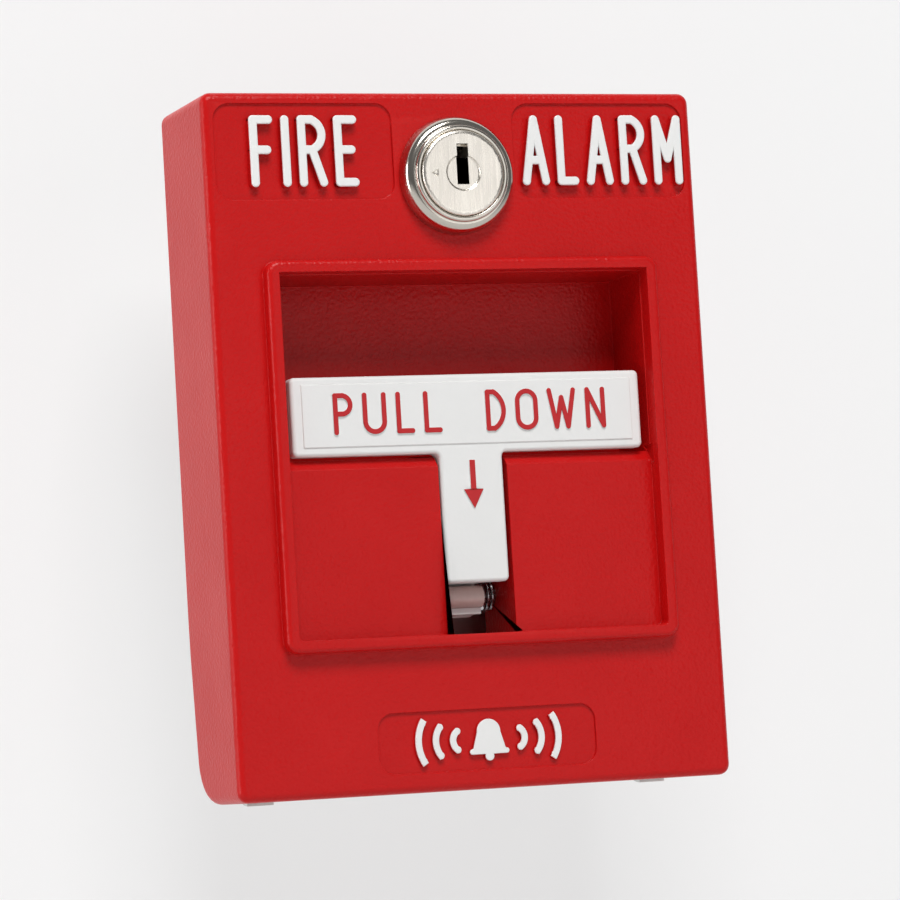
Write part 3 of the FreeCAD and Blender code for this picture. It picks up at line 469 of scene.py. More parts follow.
def rounded_stroke(make, spots, half, y, lift, edge):
    """One bar or band with rounded front edges, a hair above its neighbour so that no faces coincide."""
    y = (y[0] - lift, y[1])
    piece = make(*spots, half, y)
    round_edges(piece, edge, 3, lambda a, b: near(a.y, y[0]) and near(b.y, y[0]))
    return piece


def strokes(letter, spot, half, y, edge):
    """Bars and bands of one letter, with spot(point) giving each point's place."""
    made = []
    for row, stroke in enumerate(LETTERS[letter]):
        index = turn_count = 0
        while index < len(stroke) - 1:
            bends = stroke[index + 1] == "arc"
            spots = [spot(stroke[index + step]) for step in ((0, 2, 3) if bends else (0, 1))]
            lift = HAIR * (turn_count % 2 + 2 * row)
            made.append(rounded_stroke(band if bends else bar, spots, half, y, lift, edge))
            index += 3 if bends else 1
            turn_count += 1
    return made


def raised_word(name, word, widths, left, low, high, stroke, gap, floor, rise, edge):
    """Word whose strokes stand rise in front of floor."""
    half = stroke / 2
    made = []
    for letter, wide in zip(word, widths):
        def spot(point, left=left, wide=wide):
            return left + half + point[0] * (wide - stroke), low + half + point[1] * (high - stroke)

        made += strokes(letter, spot, half, (floor - rise, floor + 0.3), edge)
        left += wide + gap
    whole = join(name, made)
    smooth(whole)
    return report(whole)


# %% [markdown]
# ## Front cover
#
# The cover is one moulding: a shell open to the wall, a deep recess with a raised frame round its mouth, two
# panels beside the lever, and shallow plaques.  It could be modelled face by face, but the real tool is cut
# from solid blocks, and doing the same with booleans keeps every wall where the mechanism needs it.  The
# recess narrows slightly with depth, because a moulding must slide off its tool.

# %% Cover shell
cover_low, cover_high = (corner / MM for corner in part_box("front_cover"))
HALF_WIDE, TOP, BOTTOM, COVER_BACK = cover_high.x, cover_high.z, cover_low.z, cover_high.y
FACE = -25.4
WALL = 2.4
INNER_FACE = FACE + WALL
INNER_HALF = HALF_WIDE - WALL
CORNER_ROUND, EDGE_ROUND, REAR_ROUND = 2.0, 1.5, 8.6

cover = block("cover_moulding", (-HALF_WIDE, HALF_WIDE), (FACE, COVER_BACK), (BOTTOM, TOP))
round_edges(cover, REAR_ROUND, 10,
            lambda a, b: all(near(s.y, COVER_BACK) and near(s.z, BOTTOM) for s in (a, b)))


def is_corner(a, b):
    """Whether an edge is one of the side corners, along the rear round too."""
    on_side = near(abs(a.x), HALF_WIDE) and near(a.x, b.x)
    in_round = max(a.z, b.z) < BOTTOM + REAR_ROUND + 0.01 and min(a.y, b.y) > COVER_BACK - REAR_ROUND - 0.01
    return on_side and (along_y(a, b) or in_round and not near(a.y, b.y))


round_edges(cover, CORNER_ROUND, 6, is_corner)
round_edges(cover, EDGE_ROUND, 5, lambda a, b: near(a.y, FACE) and near(b.y, FACE))
report(cover)

# %% [markdown]
# ## Recess and frame
#
# The recess is a solid block first, with a raised ring round its mouth.  They join the shell before anything
# is cut, so that one set of cutters shapes all of them.  The cheeks that carry the lever's shaft and the
# knuckles of the cover's hinge join at the same time.

# %% Recess sizes
RECESS_HALF, RECESS_TOP, RECESS_LOW, RECESS_DEEP = 35.7, 30.5, -35.5, 14.0
FLOOR = FACE + RECESS_DEEP
SKIN = 2.0
FRAME_FRONT, FRAME_WIDE, FRAME_CORNER, FRAME_ROUND = cover_low.y, 2.2, 2.4, 1.0
PANEL_FACE, PANEL_BACK = FACE + 0.5, FACE + 7.9
PANEL_TOP, PANEL_BEVEL = -3.1, 1.8
SLOT_HALF, SLOT_LIP = 6.9, 1.2
# The left panel reaches nearer to the stem than the slot behind it.
STEM_SIDE, LIP_DEEP = 6.4, 2.0
print("recess", 2 * RECESS_HALF, "wide,", RECESS_TOP - RECESS_LOW, "high and", RECESS_DEEP, "deep")

# %% Recess block, raised frame, cheeks and knuckles

tub = block("tub", (-RECESS_HALF - SKIN, RECESS_HALF + SKIN), (PANEL_FACE, FLOOR + SKIN),
            (RECESS_LOW - SKIN, RECESS_TOP + SKIN))
ring = block("ring", (-RECESS_HALF - FRAME_WIDE, RECESS_HALF + FRAME_WIDE), (FRAME_FRONT, FACE + 0.8),
             (RECESS_LOW - FRAME_WIDE, RECESS_TOP + FRAME_WIDE))
round_edges(ring, FRAME_CORNER, 6, along_y)
round_edges(ring, FRAME_ROUND, 5, lambda a, b: near(a.y, FRAME_FRONT) and near(b.y, FRAME_FRONT))
RUN_GAP = 0.05
PIVOT_Y, PIVOT_Z, SHAFT_BORE = -13.5, -28.0, 1.5 + RUN_GAP
CHEEK, CHEEK_ROUND = 2.5, 4.5
HINGE_Y, HINGE_Z, EAR_IN, EAR_THICK, SIDE_PLAY = -9.0, BOTTOM + 9.0, 36.0, 5.0, 0.3
KNUCKLE_ROUND, PIN_BORE, PIN_SEAT = 5.0, 1.6 + RUN_GAP, 3.4
added = [tub, ring]
for side in (-1, 1):
    cheek = sorted((side * SLOT_HALF, side * (SLOT_HALF + CHEEK)))
    added.append(block("cheek", cheek, (PANEL_FACE + 1, PIVOT_Y),
                       (PIVOT_Z - CHEEK_ROUND, PIVOT_Z + CHEEK_ROUND)))
    added.append(rod("cheek_eye", "X", CHEEK_ROUND, cheek, (PIVOT_Y, PIVOT_Z)))
    knuckle = sorted((side * (INNER_HALF + 1), side * (EAR_IN + EAR_THICK + SIDE_PLAY)))
    added.append(rod("knuckle", "X", KNUCKLE_ROUND, knuckle, (HINGE_Y, HINGE_Z)))
print("blocks to join:", len(added))

# %% [markdown]
# ## Cuts
#
# The cutters reach past the faces they open, because two faces at the same place make a boolean unsure.  The
# mouth and the finger room are drafted: their far ends are smaller by a fraction of a millimetre.

# %% Drafted cutter
def drafted(name, x, y, z, draft, pivot_z, corner):
    """Cutter whose far end is a little smaller, with rounded upright corners."""
    piece = block(name, x, y, z)
    if corner:
        round_edges(piece, corner, 4, along_y)
    pick(piece, "VERT", lambda spot: near(spot.y, max(y)))
    bpy.ops.transform.resize(value=(1 - draft / x[1], 1, 1 - draft / (z[1] - z[0])),
                             center_override=Vector((0, max(y), pivot_z)) * MM)
    bpy.ops.object.mode_set(mode="OBJECT")
    return piece


# %% Main cuts
AHEAD = FRAME_FRONT - 2
PLATE_LOW = -53.7
# The gap under the plate starts a little ahead of the hinge's axis, clear of the rear round's first facet.
GAP_LEAD = 0.3
LOCK_Z, BARREL_ROUND = 48.0, 8.8
hollow = block("hollow", (-INNER_HALF, INNER_HALF), (INNER_FACE, 1), (BOTTOM + WALL, TOP - WALL))
combine(cover, [hollow], "DIFFERENCE")
combine(cover, added, "UNION")
cuts = [
    drafted("mouth", (-RECESS_HALF, RECESS_HALF), (AHEAD, PANEL_FACE), (RECESS_LOW, RECESS_TOP), 0.15,
            0, 0.8),
    drafted("finger_room", (-RECESS_HALF, RECESS_HALF), (AHEAD, FLOOR), (PANEL_TOP, RECESS_TOP), 0.6,
            PANEL_TOP, 0),
    block("slot", (-SLOT_HALF, SLOT_HALF), (PANEL_FACE + LIP_DEEP, 1), (RECESS_LOW, PANEL_TOP + 1)),
    block("slot_mouth", (-STEM_SIDE, SLOT_HALF), (AHEAD, PANEL_FACE + LIP_DEEP + 1),
          (RECESS_LOW, PANEL_TOP + 1)),
    block("slot_low", (-SLOT_HALF, SLOT_HALF), (FACE + SLOT_LIP, 1), (RECESS_LOW - SKIN - 1, RECESS_LOW + 1)),
    block("behind_panels", (-RECESS_HALF - SKIN - 1, -SLOT_HALF - CHEEK), (PANEL_BACK, 1),
          (RECESS_LOW - SKIN - 1, PANEL_TOP - SKIN)),
    block("behind_panels", (SLOT_HALF + CHEEK, RECESS_HALF + SKIN + 1), (PANEL_BACK, 1),
          (RECESS_LOW - SKIN - 1, PANEL_TOP - SKIN)),
    block("rear_gap", (-INNER_HALF, INNER_HALF), (HINGE_Y - GAP_LEAD, 1), (BOTTOM - 1, PLATE_LOW)),
    rod("lock_hole", "Y", BARREL_ROUND + RUN_GAP, (FACE - 1, 1), (0, LOCK_Z)),
    rod("shaft_bore", "X", SHAFT_BORE, (-RECESS_HALF, RECESS_HALF), (PIVOT_Y, PIVOT_Z), 32),
]
print("cutters:", [cutter.name for cutter in cuts])

# %% Panel hollows and hinge cuts
for side in (-1, 1):
    outer, inner = side * RECESS_HALF, side * (SLOT_HALF + SKIN)
    cuts.append(block("panel_hollow", sorted((inner, outer)), (PANEL_FACE + SKIN, 1),
                      (RECESS_LOW, PANEL_TOP - PANEL_BEVEL - SKIN)))
    notch = sorted((side * (EAR_IN - SIDE_PLAY), side * (EAR_IN + EAR_THICK + SIDE_PLAY)))
    cuts.append(block("hinge_notch", notch, (HINGE_Y - 8, HINGE_Y + 1), (BOTTOM - 1, BOTTOM + 3)))
    bore = sorted((side * EAR_IN, side * (EAR_IN + EAR_THICK + SIDE_PLAY + PIN_SEAT)))
    cuts.append(rod("hinge_bore", "X", PIN_BORE, bore, (HINGE_Y, HINGE_Z), 32))
print("cutters:", len(cuts))

# %% [markdown]
# ## Slope and plaques
#
# The top of each panel slopes back under the lever's bar.  Its cutter is a block whose lower rear edge is
# moved forward, which turns it into a wedge.  The three plaques are flat pockets with round corners.

# %% Slope above the panels
slope = block("slope", (-RECESS_HALF, RECESS_HALF), (PANEL_FACE - 1, PANEL_FACE + PANEL_BEVEL + 1),
              (PANEL_TOP - PANEL_BEVEL - 1, PANEL_TOP + 1))
pick(slope, "VERT", lambda spot: spot.y > PANEL_FACE and spot.z < PANEL_TOP)
bpy.ops.transform.translate(value=(0, -(PANEL_BEVEL + 2) * MM, 0))
bpy.ops.object.mode_set(mode="OBJECT")
tidy_mesh(slope)
cuts.append(slope)
print("slope over", PANEL_BEVEL, "mm")

# %% Plaques
PLAQUE_DEEP, PLAQUE_ROUND = 0.5, 3.0
PLAQUE_LOW, PLAQUE_HIGH, PLAQUE_IN, PLAQUE_OUT = 43.9, 61.4, 11.8, 45.6
BADGE_HALF, BADGE_LOW, BADGE_HIGH = 21.0, -60.0, -49.0
PLAQUE_FLOOR = FACE + PLAQUE_DEEP
for x, z in (((-PLAQUE_OUT, -PLAQUE_IN), (PLAQUE_LOW, PLAQUE_HIGH)),
             ((PLAQUE_IN, PLAQUE_OUT), (PLAQUE_LOW, PLAQUE_HIGH)),
             ((-BADGE_HALF, BADGE_HALF), (BADGE_LOW, BADGE_HIGH))):
    plaque = block("plaque", x, (FACE - 1, PLAQUE_FLOOR), z)
    round_edges(plaque, PLAQUE_ROUND, 8, along_y)
    cuts.append(plaque)
combine(cover, cuts, "DIFFERENCE")
soften(cover, 0.14, 3, 33)
smooth(cover)
report(cover)

# %% [markdown]
# ## Signs on the cover
#
# The two plain words are raised strokes.  The lower plaque holds a bell with sound waves, which says what the
# station does without any words.  The bell's body is a cube with a wider foot, welded to a dome and a
# clapper, and its waves are bands like those of the letters.

# %% Words on the cover
WORD_LOW, WORD_HIGH, WORD_STROKE, WORD_GAP, WORD_RISE, WORD_EDGE = 46.1, 13.0, 1.6, 1.5, 1.6, 0.28
WORD_SHAPE = WORD_LOW, WORD_HIGH, WORD_STROKE, WORD_GAP, PLAQUE_FLOOR, WORD_RISE, WORD_EDGE
FIRE_LEFT, ALARM_LEFT = -39.3, 12.9
fire = raised_word("fire_word", "FIRE", (4.5, 1.6, 5.4, 4.5), FIRE_LEFT, *WORD_SHAPE)
alarm = raised_word("alarm_word", "ALARM", (5.4, 4.3, 5.4, 5.2, 5.8), ALARM_LEFT, *WORD_SHAPE)

# %% Bell
BELL_RISE, BELL_EDGE = 0.9, 0.15


def bell_sign():
    """Bell with three sound waves on each side."""
    middle, reach = (BADGE_LOW + BADGE_HIGH) / 2, (BADGE_HIGH - BADGE_LOW) / 2
    y = (PLAQUE_FLOOR - BELL_RISE, PLAQUE_FLOOR + 0.3)

    def at(x, z):
        return x * reach, middle + z * reach

    body = block("bell_sign", (-0.4 * reach, 0.4 * reach), y, (middle - 0.42 * reach, middle + 0.27 * reach))
    pick(body, "VERT", lambda spot: spot.z < middle)
    bpy.ops.transform.resize(value=(1.5, 1, 1), center_override=(0, 0, 0))
    bpy.ops.object.mode_set(mode="OBJECT")
    level(body, y)
    parts = [level(rod("dome", "Y", 0.41 * reach, y, at(0, 0.25), 48), y),
             level(rod("clapper", "Y", 0.15 * reach, y, at(0, -0.56), 32), y),
             bar(at(-0.6, -0.4), at(0.6, -0.4), 0.09 * reach, y)]
    combine(body, parts, "UNION")
    soften(body, BELL_EDGE, 2, 40)
    waves = []
    for side in (-1, 1):
        for wave in (1, 2, 3):
            out, tall = 0.5 + 0.6 * wave, 0.15 + 0.16 * wave
            half = 0.11 * reach
            bend = [at(side * out, -tall), at(side * (out + 0.16), 0), at(side * out, tall)]
            waves.append(rounded_stroke(band, bend, half, y, HAIR, BELL_EDGE))
            for spot, beside in ((bend[0], bend[2]), (bend[2], bend[0])):
                stub = (spot[0], spot[1] + (beside[1] - spot[1]) * 0.02)
                waves.append(rounded_stroke(bar, [spot, stub], half, y, 0, BELL_EDGE))
    whole = join("bell_sign", [body] + waves)
    smooth(whole)
    return report(whole)


bell = bell_sign()

# %% [markdown]
# ## Pull lever
#
# The lever is a white T.  Its bar is a cube, cut at the stem's width, and the stem is extruded from the
# middle of its lower face, so the T is one closed skin.  Behind the stem a leg runs back to the hub on the
# pivot shaft, with the arm that presses the switch and the cradle that holds the break rod.

# %% Lever's T
LEVER_FACE, LEVER_BACK = -25.2, -22.0
BAR_HALF, BAR_LOW, BAR_HIGH = 33.9, -2.5, 11.8
STEM_HALF, STEM_LOW = 6.1, -26.1
LEVER_CORNER, LEVER_ROUND, PANEL_RISE = 0.95, 0.7, 0.25

lever = block("pull_lever_moulding", (-BAR_HALF, BAR_HALF), (LEVER_FACE, LEVER_BACK), (BAR_LOW, BAR_HIGH))
for side in (-1, 1):
    pick(lever, "VERT", lambda spot: True)
    bpy.ops.mesh.bisect(plane_co=(side * STEM_HALF * MM, 0, 0), plane_no=(1, 0, 0))
    bpy.ops.object.mode_set(mode="OBJECT")
pick(lever, "FACE", lambda middle, normal: normal.z < -0.9 and near(middle.x, 0))
bpy.ops.mesh.extrude_region_move(TRANSFORM_OT_translate={"value": (0, 0, (STEM_LOW - BAR_LOW) * MM)})
bpy.ops.object.mode_set(mode="OBJECT")
tidy_mesh(lever)
round_edges(lever, LEVER_CORNER, 5, along_y)
round_edges(lever, LEVER_ROUND, 5, lambda a, b: near(a.y, LEVER_FACE) and near(b.y, LEVER_FACE))
report(lever)

# %% Leg, hub, arm and cradle behind the stem
HUB_RIGHT, HUB_ROUND = 2.2, 4.0
ROD_ROUND, ROD_PLAY = 2.0, 0.4
ROD_Z = STEM_LOW - ROD_PLAY - ROD_ROUND
# The blocks differ by a few hundredths where they would share a face, which keeps the boolean clean.
behind = [
    block("leg", (-STEM_HALF + 0.06, HUB_RIGHT - 0.04), (LEVER_BACK - 1, PIVOT_Y + 0.37),
          (STEM_LOW + 0.05, STEM_LOW + 3.6)),
    rod("hub", "X", HUB_ROUND, (-STEM_HALF + 0.02, HUB_RIGHT), (PIVOT_Y, PIVOT_Z)),
    block("switch_arm", (-2, 2), (PIVOT_Y + 0.21, PIVOT_Y + 6), (PIVOT_Z - 1.6, PIVOT_Z + 1.6)),
    block("rod_cradle", (1 - STEM_HALF, HUB_RIGHT - 0.07), (PIVOT_Y - 6.4, PIVOT_Y - 0.33),
          (ROD_Z - ROD_ROUND - 1.2, ROD_Z - ROD_ROUND)),
]
plate = block("bar_panel", (-BAR_HALF + 2, BAR_HALF - 2), (LEVER_FACE - PANEL_RISE, LEVER_FACE + 1),
              (BAR_LOW + 1.6, BAR_HIGH - 1.4))
combine(lever, behind + [plate], "UNION")
lever_bore = rod("lever_bore", "X", SHAFT_BORE, (-RECESS_HALF, RECESS_HALF), (PIVOT_Y, PIVOT_Z), 32)
combine(lever, [lever_bore], "DIFFERENCE")
soften(lever, 0.12, 2, 40)
smooth(lever)
report(lever)

# %% [markdown]
# ## Signs on the lever
#
# The bar says what to do in two plain words, and an arrow on the stem shows the way.  The arrow's head is a
# three-sided cylinder whose corners are moved to their places, which is quicker than drawing an outline.

# %% Words on the bar
CALL_FLOOR = LEVER_FACE - PANEL_RISE
CALL_LOW, CALL_HIGH, CALL_STROKE, CALL_GAP, CALL_RISE, CALL_EDGE = 1.2, 7.6, 0.95, 1.8, 0.35, 0.14
CALL_SHAPE = CALL_LOW, CALL_HIGH, CALL_STROKE, CALL_GAP, CALL_FLOOR, CALL_RISE, CALL_EDGE
PULL_LEFT, DOWN_LEFT = -26.2, 3.1
pull = raised_word("pull_word", "PULL", (3.8, 4.6, 3.5, 3.5), PULL_LEFT, *CALL_SHAPE)
down = raised_word("down_word", "DOWN", (4.0, 4.5, 5.7, 4.0), DOWN_LEFT, *CALL_SHAPE)

# %% Arrow
def arrow_sign():
    """Arrow that points down the stem: a bar and a three-sided head."""
    y = (LEVER_FACE - CALL_RISE, LEVER_FACE + 0.3)
    top, neck, tip, half, line = -3.9, -9.2, -12.8, 1.95, 0.55
    head = rod("arrow_sign", "Y", 1.0, y, (0, 0), 3)
    for corner in head.data.vertices:
        at_tip = abs(corner.co.x) < 1e-5
        side = 0 if at_tip else (1 if corner.co.x > 0 else -1)
        corner.co.x = side * half * MM
        corner.co.z = (tip if at_tip else neck) * MM
    combine(head, [block("shaft", (-line, line), y, (neck - 1, top))], "UNION")
    pick(head, "VERT", lambda spot: True)
    bpy.ops.mesh.normals_make_consistent(inside=False)
    bpy.ops.object.mode_set(mode="OBJECT")
    soften(head, 0.14, 3, 40)
    smooth(head)
    return report(head)


arrow = arrow_sign()

# %% [markdown]
# ## Lock
#
# Both visible parts of the lock are turned on a lathe.  A ring of edges is extruded and scaled from one
# diameter to the next, which is lathe work by hand and leaves an even mesh.  The key slot, its ledge and the
# small index mark are then cut into the plug.

# %% Lathe
LOCK_SIDES = 128


def turned(name, rings, closed):
    """Extrude and scale a ring through (y, radius) pairs; closed joins the last ring to the first."""
    y, radius = rings[0]
    bpy.ops.mesh.primitive_circle_add(vertices=LOCK_SIDES, radius=radius * MM,
                                      location=Vector((0, y, LOCK_Z)) * MM,
                                      rotation=(pi / 2, 0, 0))
    piece = settle(name)
    alone(piece)
    bpy.ops.object.mode_set(mode="EDIT")
    bpy.ops.mesh.select_mode(type="EDGE")
    bpy.ops.mesh.select_all(action="SELECT")
    if not closed:
        bpy.ops.mesh.edge_face_add()
    for next_y, next_radius in rings[1:]:
        bpy.ops.mesh.extrude_region_move(TRANSFORM_OT_translate={"value": (0, (next_y - y) * MM, 0)})
        factor = next_radius / radius
        bpy.ops.transform.resize(value=(factor, 1, factor), center_override=Vector((0, next_y, LOCK_Z)) * MM)
        y, radius = next_y, next_radius
    bpy.ops.mesh.select_all(action="SELECT")
    bpy.ops.mesh.remove_doubles(threshold=0.001 * MM)
    bpy.ops.mesh.normals_make_consistent(inside=False)
    bpy.ops.object.mode_set(mode="OBJECT")
    return piece


# %% Bezel and barrel
BEZEL_FRONT, BEZEL_ROUND = FACE - 4.0, 10.9
BARREL_END = -11.5
CORE_ROUND, FACE_ROUND = 5.0, 7.9
CORE_BORE, FACE_BORE = CORE_ROUND + RUN_GAP, FACE_ROUND + RUN_GAP
# The shoulder is a quarter of an ellipse, from beside the cover up to the rim.
SHOULDER_START, SHOULDER_DEEP, RIM_ROUND, SHOULDER_WIDE, SHOULDER_STEPS = -25.9, 2.75, 9.1, 1.75, 8
SHOULDER = [(SHOULDER_START - SHOULDER_DEEP * sin(pi / 2 * step / SHOULDER_STEPS),
             RIM_ROUND + SHOULDER_WIDE * cos(pi / 2 * step / SHOULDER_STEPS))
            for step in range(SHOULDER_STEPS + 1)]
bezel = turned("lock_bezel", [
    (BARREL_END, CORE_BORE), (BARREL_END, BARREL_ROUND), (FACE, BARREL_ROUND), (FACE, BEZEL_ROUND),
    (FACE - 0.35, BEZEL_ROUND), *SHOULDER, (SHOULDER_START - SHOULDER_DEEP, 8.9), (BEZEL_FRONT + 0.25, 8.85),
    (BEZEL_FRONT + 0.05, 8.7), (BEZEL_FRONT, 8.5), (BEZEL_FRONT, 8.12), (BEZEL_FRONT + 0.15, FACE_BORE),
    (BEZEL_FRONT + 1.3, FACE_BORE), (BEZEL_FRONT + 1.3, CORE_BORE), (BARREL_END, CORE_BORE)], True)
soften(bezel, 0.08, 2, 40)
smooth(bezel, 60)
report(bezel)

# %% Plug
PLUG_FACE = BEZEL_FRONT - 0.5
SEAT = BEZEL_FRONT + 1.25
TAIL_END, TAIL_START, TAIL_ROUND = -7.3, -11.0, 3.0
plug = turned("lock_face", [
    (TAIL_END, TAIL_ROUND), (TAIL_START, TAIL_ROUND), (TAIL_START, CORE_ROUND), (SEAT, CORE_ROUND),
    (SEAT, FACE_ROUND), (PLUG_FACE + 0.55, FACE_ROUND), (PLUG_FACE + 0.2, 7.75), (PLUG_FACE + 0.03, 7.45),
    (PLUG_FACE, 7.1), (PLUG_FACE, 3.3), (PLUG_FACE + 0.25, 3.2), (PLUG_FACE + 0.4, 3.05)], False)
report(plug)

# %% Key slot and index mark
KEY_HALF, KEY_DEEP, KEY_DOWN, KEY_UP = 1.05, 14, 2.0, 5.3
keyway = block("keyway", (-KEY_HALF, KEY_HALF), (PLUG_FACE - 1, PLUG_FACE + KEY_DEEP),
               (LOCK_Z - KEY_DOWN, LOCK_Z + KEY_UP))
combine(plug, [keyway], "DIFFERENCE")
# The ledge and the ward stand in the slot and reach a hair into its walls.
ledge = block("ledge", (-1.1, 1.1), (PLUG_FACE + 0.9, PLUG_FACE + 9), (LOCK_Z - 2.1, LOCK_Z - 1.2))
ward = block("ward", (0.35, 1.1), (PLUG_FACE + 0.7, PLUG_FACE + 9), (LOCK_Z + 0.2, LOCK_Z + 1.0))
combine(plug, [ledge, ward], "UNION")
MARK_X, MARK_ROUND, MARK_DEEP = -5.3, 0.75, 0.18
mark = rod("mark", "Y", MARK_ROUND, (PLUG_FACE - 1, PLUG_FACE + MARK_DEEP), (MARK_X, LOCK_Z), 3, pi / 6)
combine(plug, [mark], "DIFFERENCE")
soften(plug, 0.1, 2, 35)
smooth(plug, 60)
report(plug)

# %% [markdown]
# ## Finishes
#
# Each finish is made of small effects.  The effects that several finishes share are node groups with named
# inputs, and they read Object coordinates in metres, so their grain has one true size on every piece.
# A group puts out only values and colours; the shader stays in the material, where an exporter can read it.

# %% Node group tools
def new_group(name, inputs, outputs):
    """Shader node group whose sockets are given as (name, type, default)."""
    group = bpy.data.node_groups.new(name, "ShaderNodeTree")
    for socket, kind, default in inputs:
        made = group.interface.new_socket(socket, in_out="INPUT", socket_type=f"NodeSocket{kind}")
        made.default_value = default
    for socket, kind in outputs:
        group.interface.new_socket(socket, in_out="OUTPUT", socket_type=f"NodeSocket{kind}")
    return group, group.nodes.new("NodeGroupInput"), group.nodes.new("NodeGroupOutput")


def math_node(tree, operation, first, second=0.0, third=None, clamp=False):
    """Math node whose inputs are numbers or sockets; returns its output."""
    node = tree.nodes.new("ShaderNodeMath")
    node.operation = operation
    node.use_clamp = clamp
    for index, feed in enumerate((first, second, third)):
        if feed is None:
            continue
        if isinstance(feed, (int, float)):
            node.inputs[index].default_value = feed
        else:
            tree.links.new(feed, node.inputs[index])
    return node.outputs[0]


def noise(tree, coordinate, scale, detail=2.0, roughness=0.5):
    """Noise texture; its scale counts features per metre."""
    node = tree.nodes.new("ShaderNodeTexNoise")
    tree.links.new(coordinate, node.inputs["Vector"])
    if isinstance(scale, (int, float)):
        node.inputs["Scale"].default_value = scale
    else:
        tree.links.new(scale, node.inputs["Scale"])
    node.inputs["Detail"].default_value = detail
    node.inputs["Roughness"].default_value = roughness
    return node.outputs["Fac"]


def mix_colour(tree, share, first, second):
    """Blend of two colours: share 0 is the first, share 1 the second."""
    node = tree.nodes.new("ShaderNodeMix")
    node.data_type = "RGBA"
    for name, feed in (("Factor", share), ("A", first), ("B", second)):
        socket = node.inputs[name]
        if isinstance(feed, bpy.types.NodeSocket):
            tree.links.new(feed, socket)
        else:
            socket.default_value = feed
    return node.outputs["Result"]


def object_coordinate(tree):
    """Place on the piece in metres, from the frame's origin."""
    return tree.nodes.new("ShaderNodeTexCoord").outputs["Object"]


# %% [markdown]
# ## Shared effects
#
# Grain adds a noise and soft cells.  Mottling shifts colour and gloss slowly.  Rubbed edges follow the
# pointiness of the mesh, broken up by a noise.  The ink mask switches where a surface stands ahead of a
# given depth.  Brushed lines are a noise that is stretched along one axis.

# %% Group: moulded grain
grain, given, out = new_group("moulded_grain", [
    ("Per Metre", "Float", 1800.0), ("Depth", "Float", 1.0)],
    [("Height", "Float")])
place = object_coordinate(grain)
fine = noise(grain, place, given.outputs["Per Metre"], 3.0, 0.55)
cells = grain.nodes.new("ShaderNodeTexVoronoi")
cells.feature = "SMOOTH_F1"
grain.links.new(place, cells.inputs["Vector"])
grain.links.new(given.outputs["Per Metre"], cells.inputs["Scale"])
both = math_node(grain, "ADD", fine, cells.outputs["Distance"])
grain.links.new(math_node(grain, "MULTIPLY", both, given.outputs["Depth"]), out.inputs["Height"])
print(grain.name, len(grain.nodes), "nodes")

# %% Group: slow mottling
mottle, given, out = new_group("slow_mottle", [
    ("Base", "Color", (0.5, 0.5, 0.5, 1)), ("Deep", "Color", (0.4, 0.4, 0.4, 1)),
    ("Per Metre", "Float", 60.0), ("Amount", "Float", 0.5), ("Gloss", "Float", 0.4),
    ("Gloss Range", "Float", 0.1)],
    [("Color", "Color"), ("Roughness", "Float")])
place = object_coordinate(mottle)
cloud = noise(mottle, place, given.outputs["Per Metre"], 4.0, 0.6)
share = math_node(mottle, "MULTIPLY", cloud, given.outputs["Amount"], clamp=True)
mottle.links.new(mix_colour(mottle, share, given.outputs["Base"], given.outputs["Deep"]), out.inputs["Color"])
swing = math_node(mottle, "MULTIPLY", math_node(mottle, "SUBTRACT", cloud, 0.5), given.outputs["Gloss Range"])
mottle.links.new(math_node(mottle, "ADD", given.outputs["Gloss"], swing), out.inputs["Roughness"])
print(mottle.name, len(mottle.nodes), "nodes")

# %% Group: rubbed edges
rubbed, given, out = new_group("rubbed_edges", [
    ("Base", "Color", (0.5, 0.5, 0.5, 1)), ("Rubbed", "Color", (0.8, 0.8, 0.8, 1)), ("Reach", "Float", 8.0),
    ("Amount", "Float", 0.3)], [("Color", "Color"), ("Mask", "Float")])
shape = rubbed.nodes.new("ShaderNodeNewGeometry")
ridge = math_node(rubbed, "MULTIPLY", math_node(rubbed, "SUBTRACT", shape.outputs["Pointiness"], 0.51),
                  given.outputs["Reach"], clamp=True)
broken = math_node(rubbed, "MULTIPLY", ridge, noise(rubbed, object_coordinate(rubbed), 900.0, 3.0))
mask = math_node(rubbed, "MULTIPLY", broken, given.outputs["Amount"], clamp=True)
worn = mix_colour(rubbed, mask, given.outputs["Base"], given.outputs["Rubbed"])
rubbed.links.new(worn, out.inputs["Color"])
rubbed.links.new(mask, out.inputs["Mask"])
print(rubbed.name, len(rubbed.nodes), "nodes")

# %% Group: ink on the tops of raised signs
ink, given, out = new_group("ink_above", [
    ("Level", "Float", 0.0), ("Softness", "Float", 0.00004), ("Ragged", "Float", 0.00004)],
    [("Mask", "Float")])
place = object_coordinate(ink)
parts = ink.nodes.new("ShaderNodeSeparateXYZ")
ink.links.new(place, parts.inputs[0])
wander = math_node(ink, "MULTIPLY", math_node(ink, "SUBTRACT", noise(ink, place, 1500.0), 0.5),
                   given.outputs["Ragged"])
ahead = math_node(ink, "SUBTRACT", given.outputs["Level"], math_node(ink, "ADD", parts.outputs["Y"], wander))
softened = math_node(ink, "DIVIDE", ahead, given.outputs["Softness"])
ink.links.new(math_node(ink, "ADD", softened, 0.5, clamp=True), out.inputs["Mask"])
print(ink.name, len(ink.nodes), "nodes")

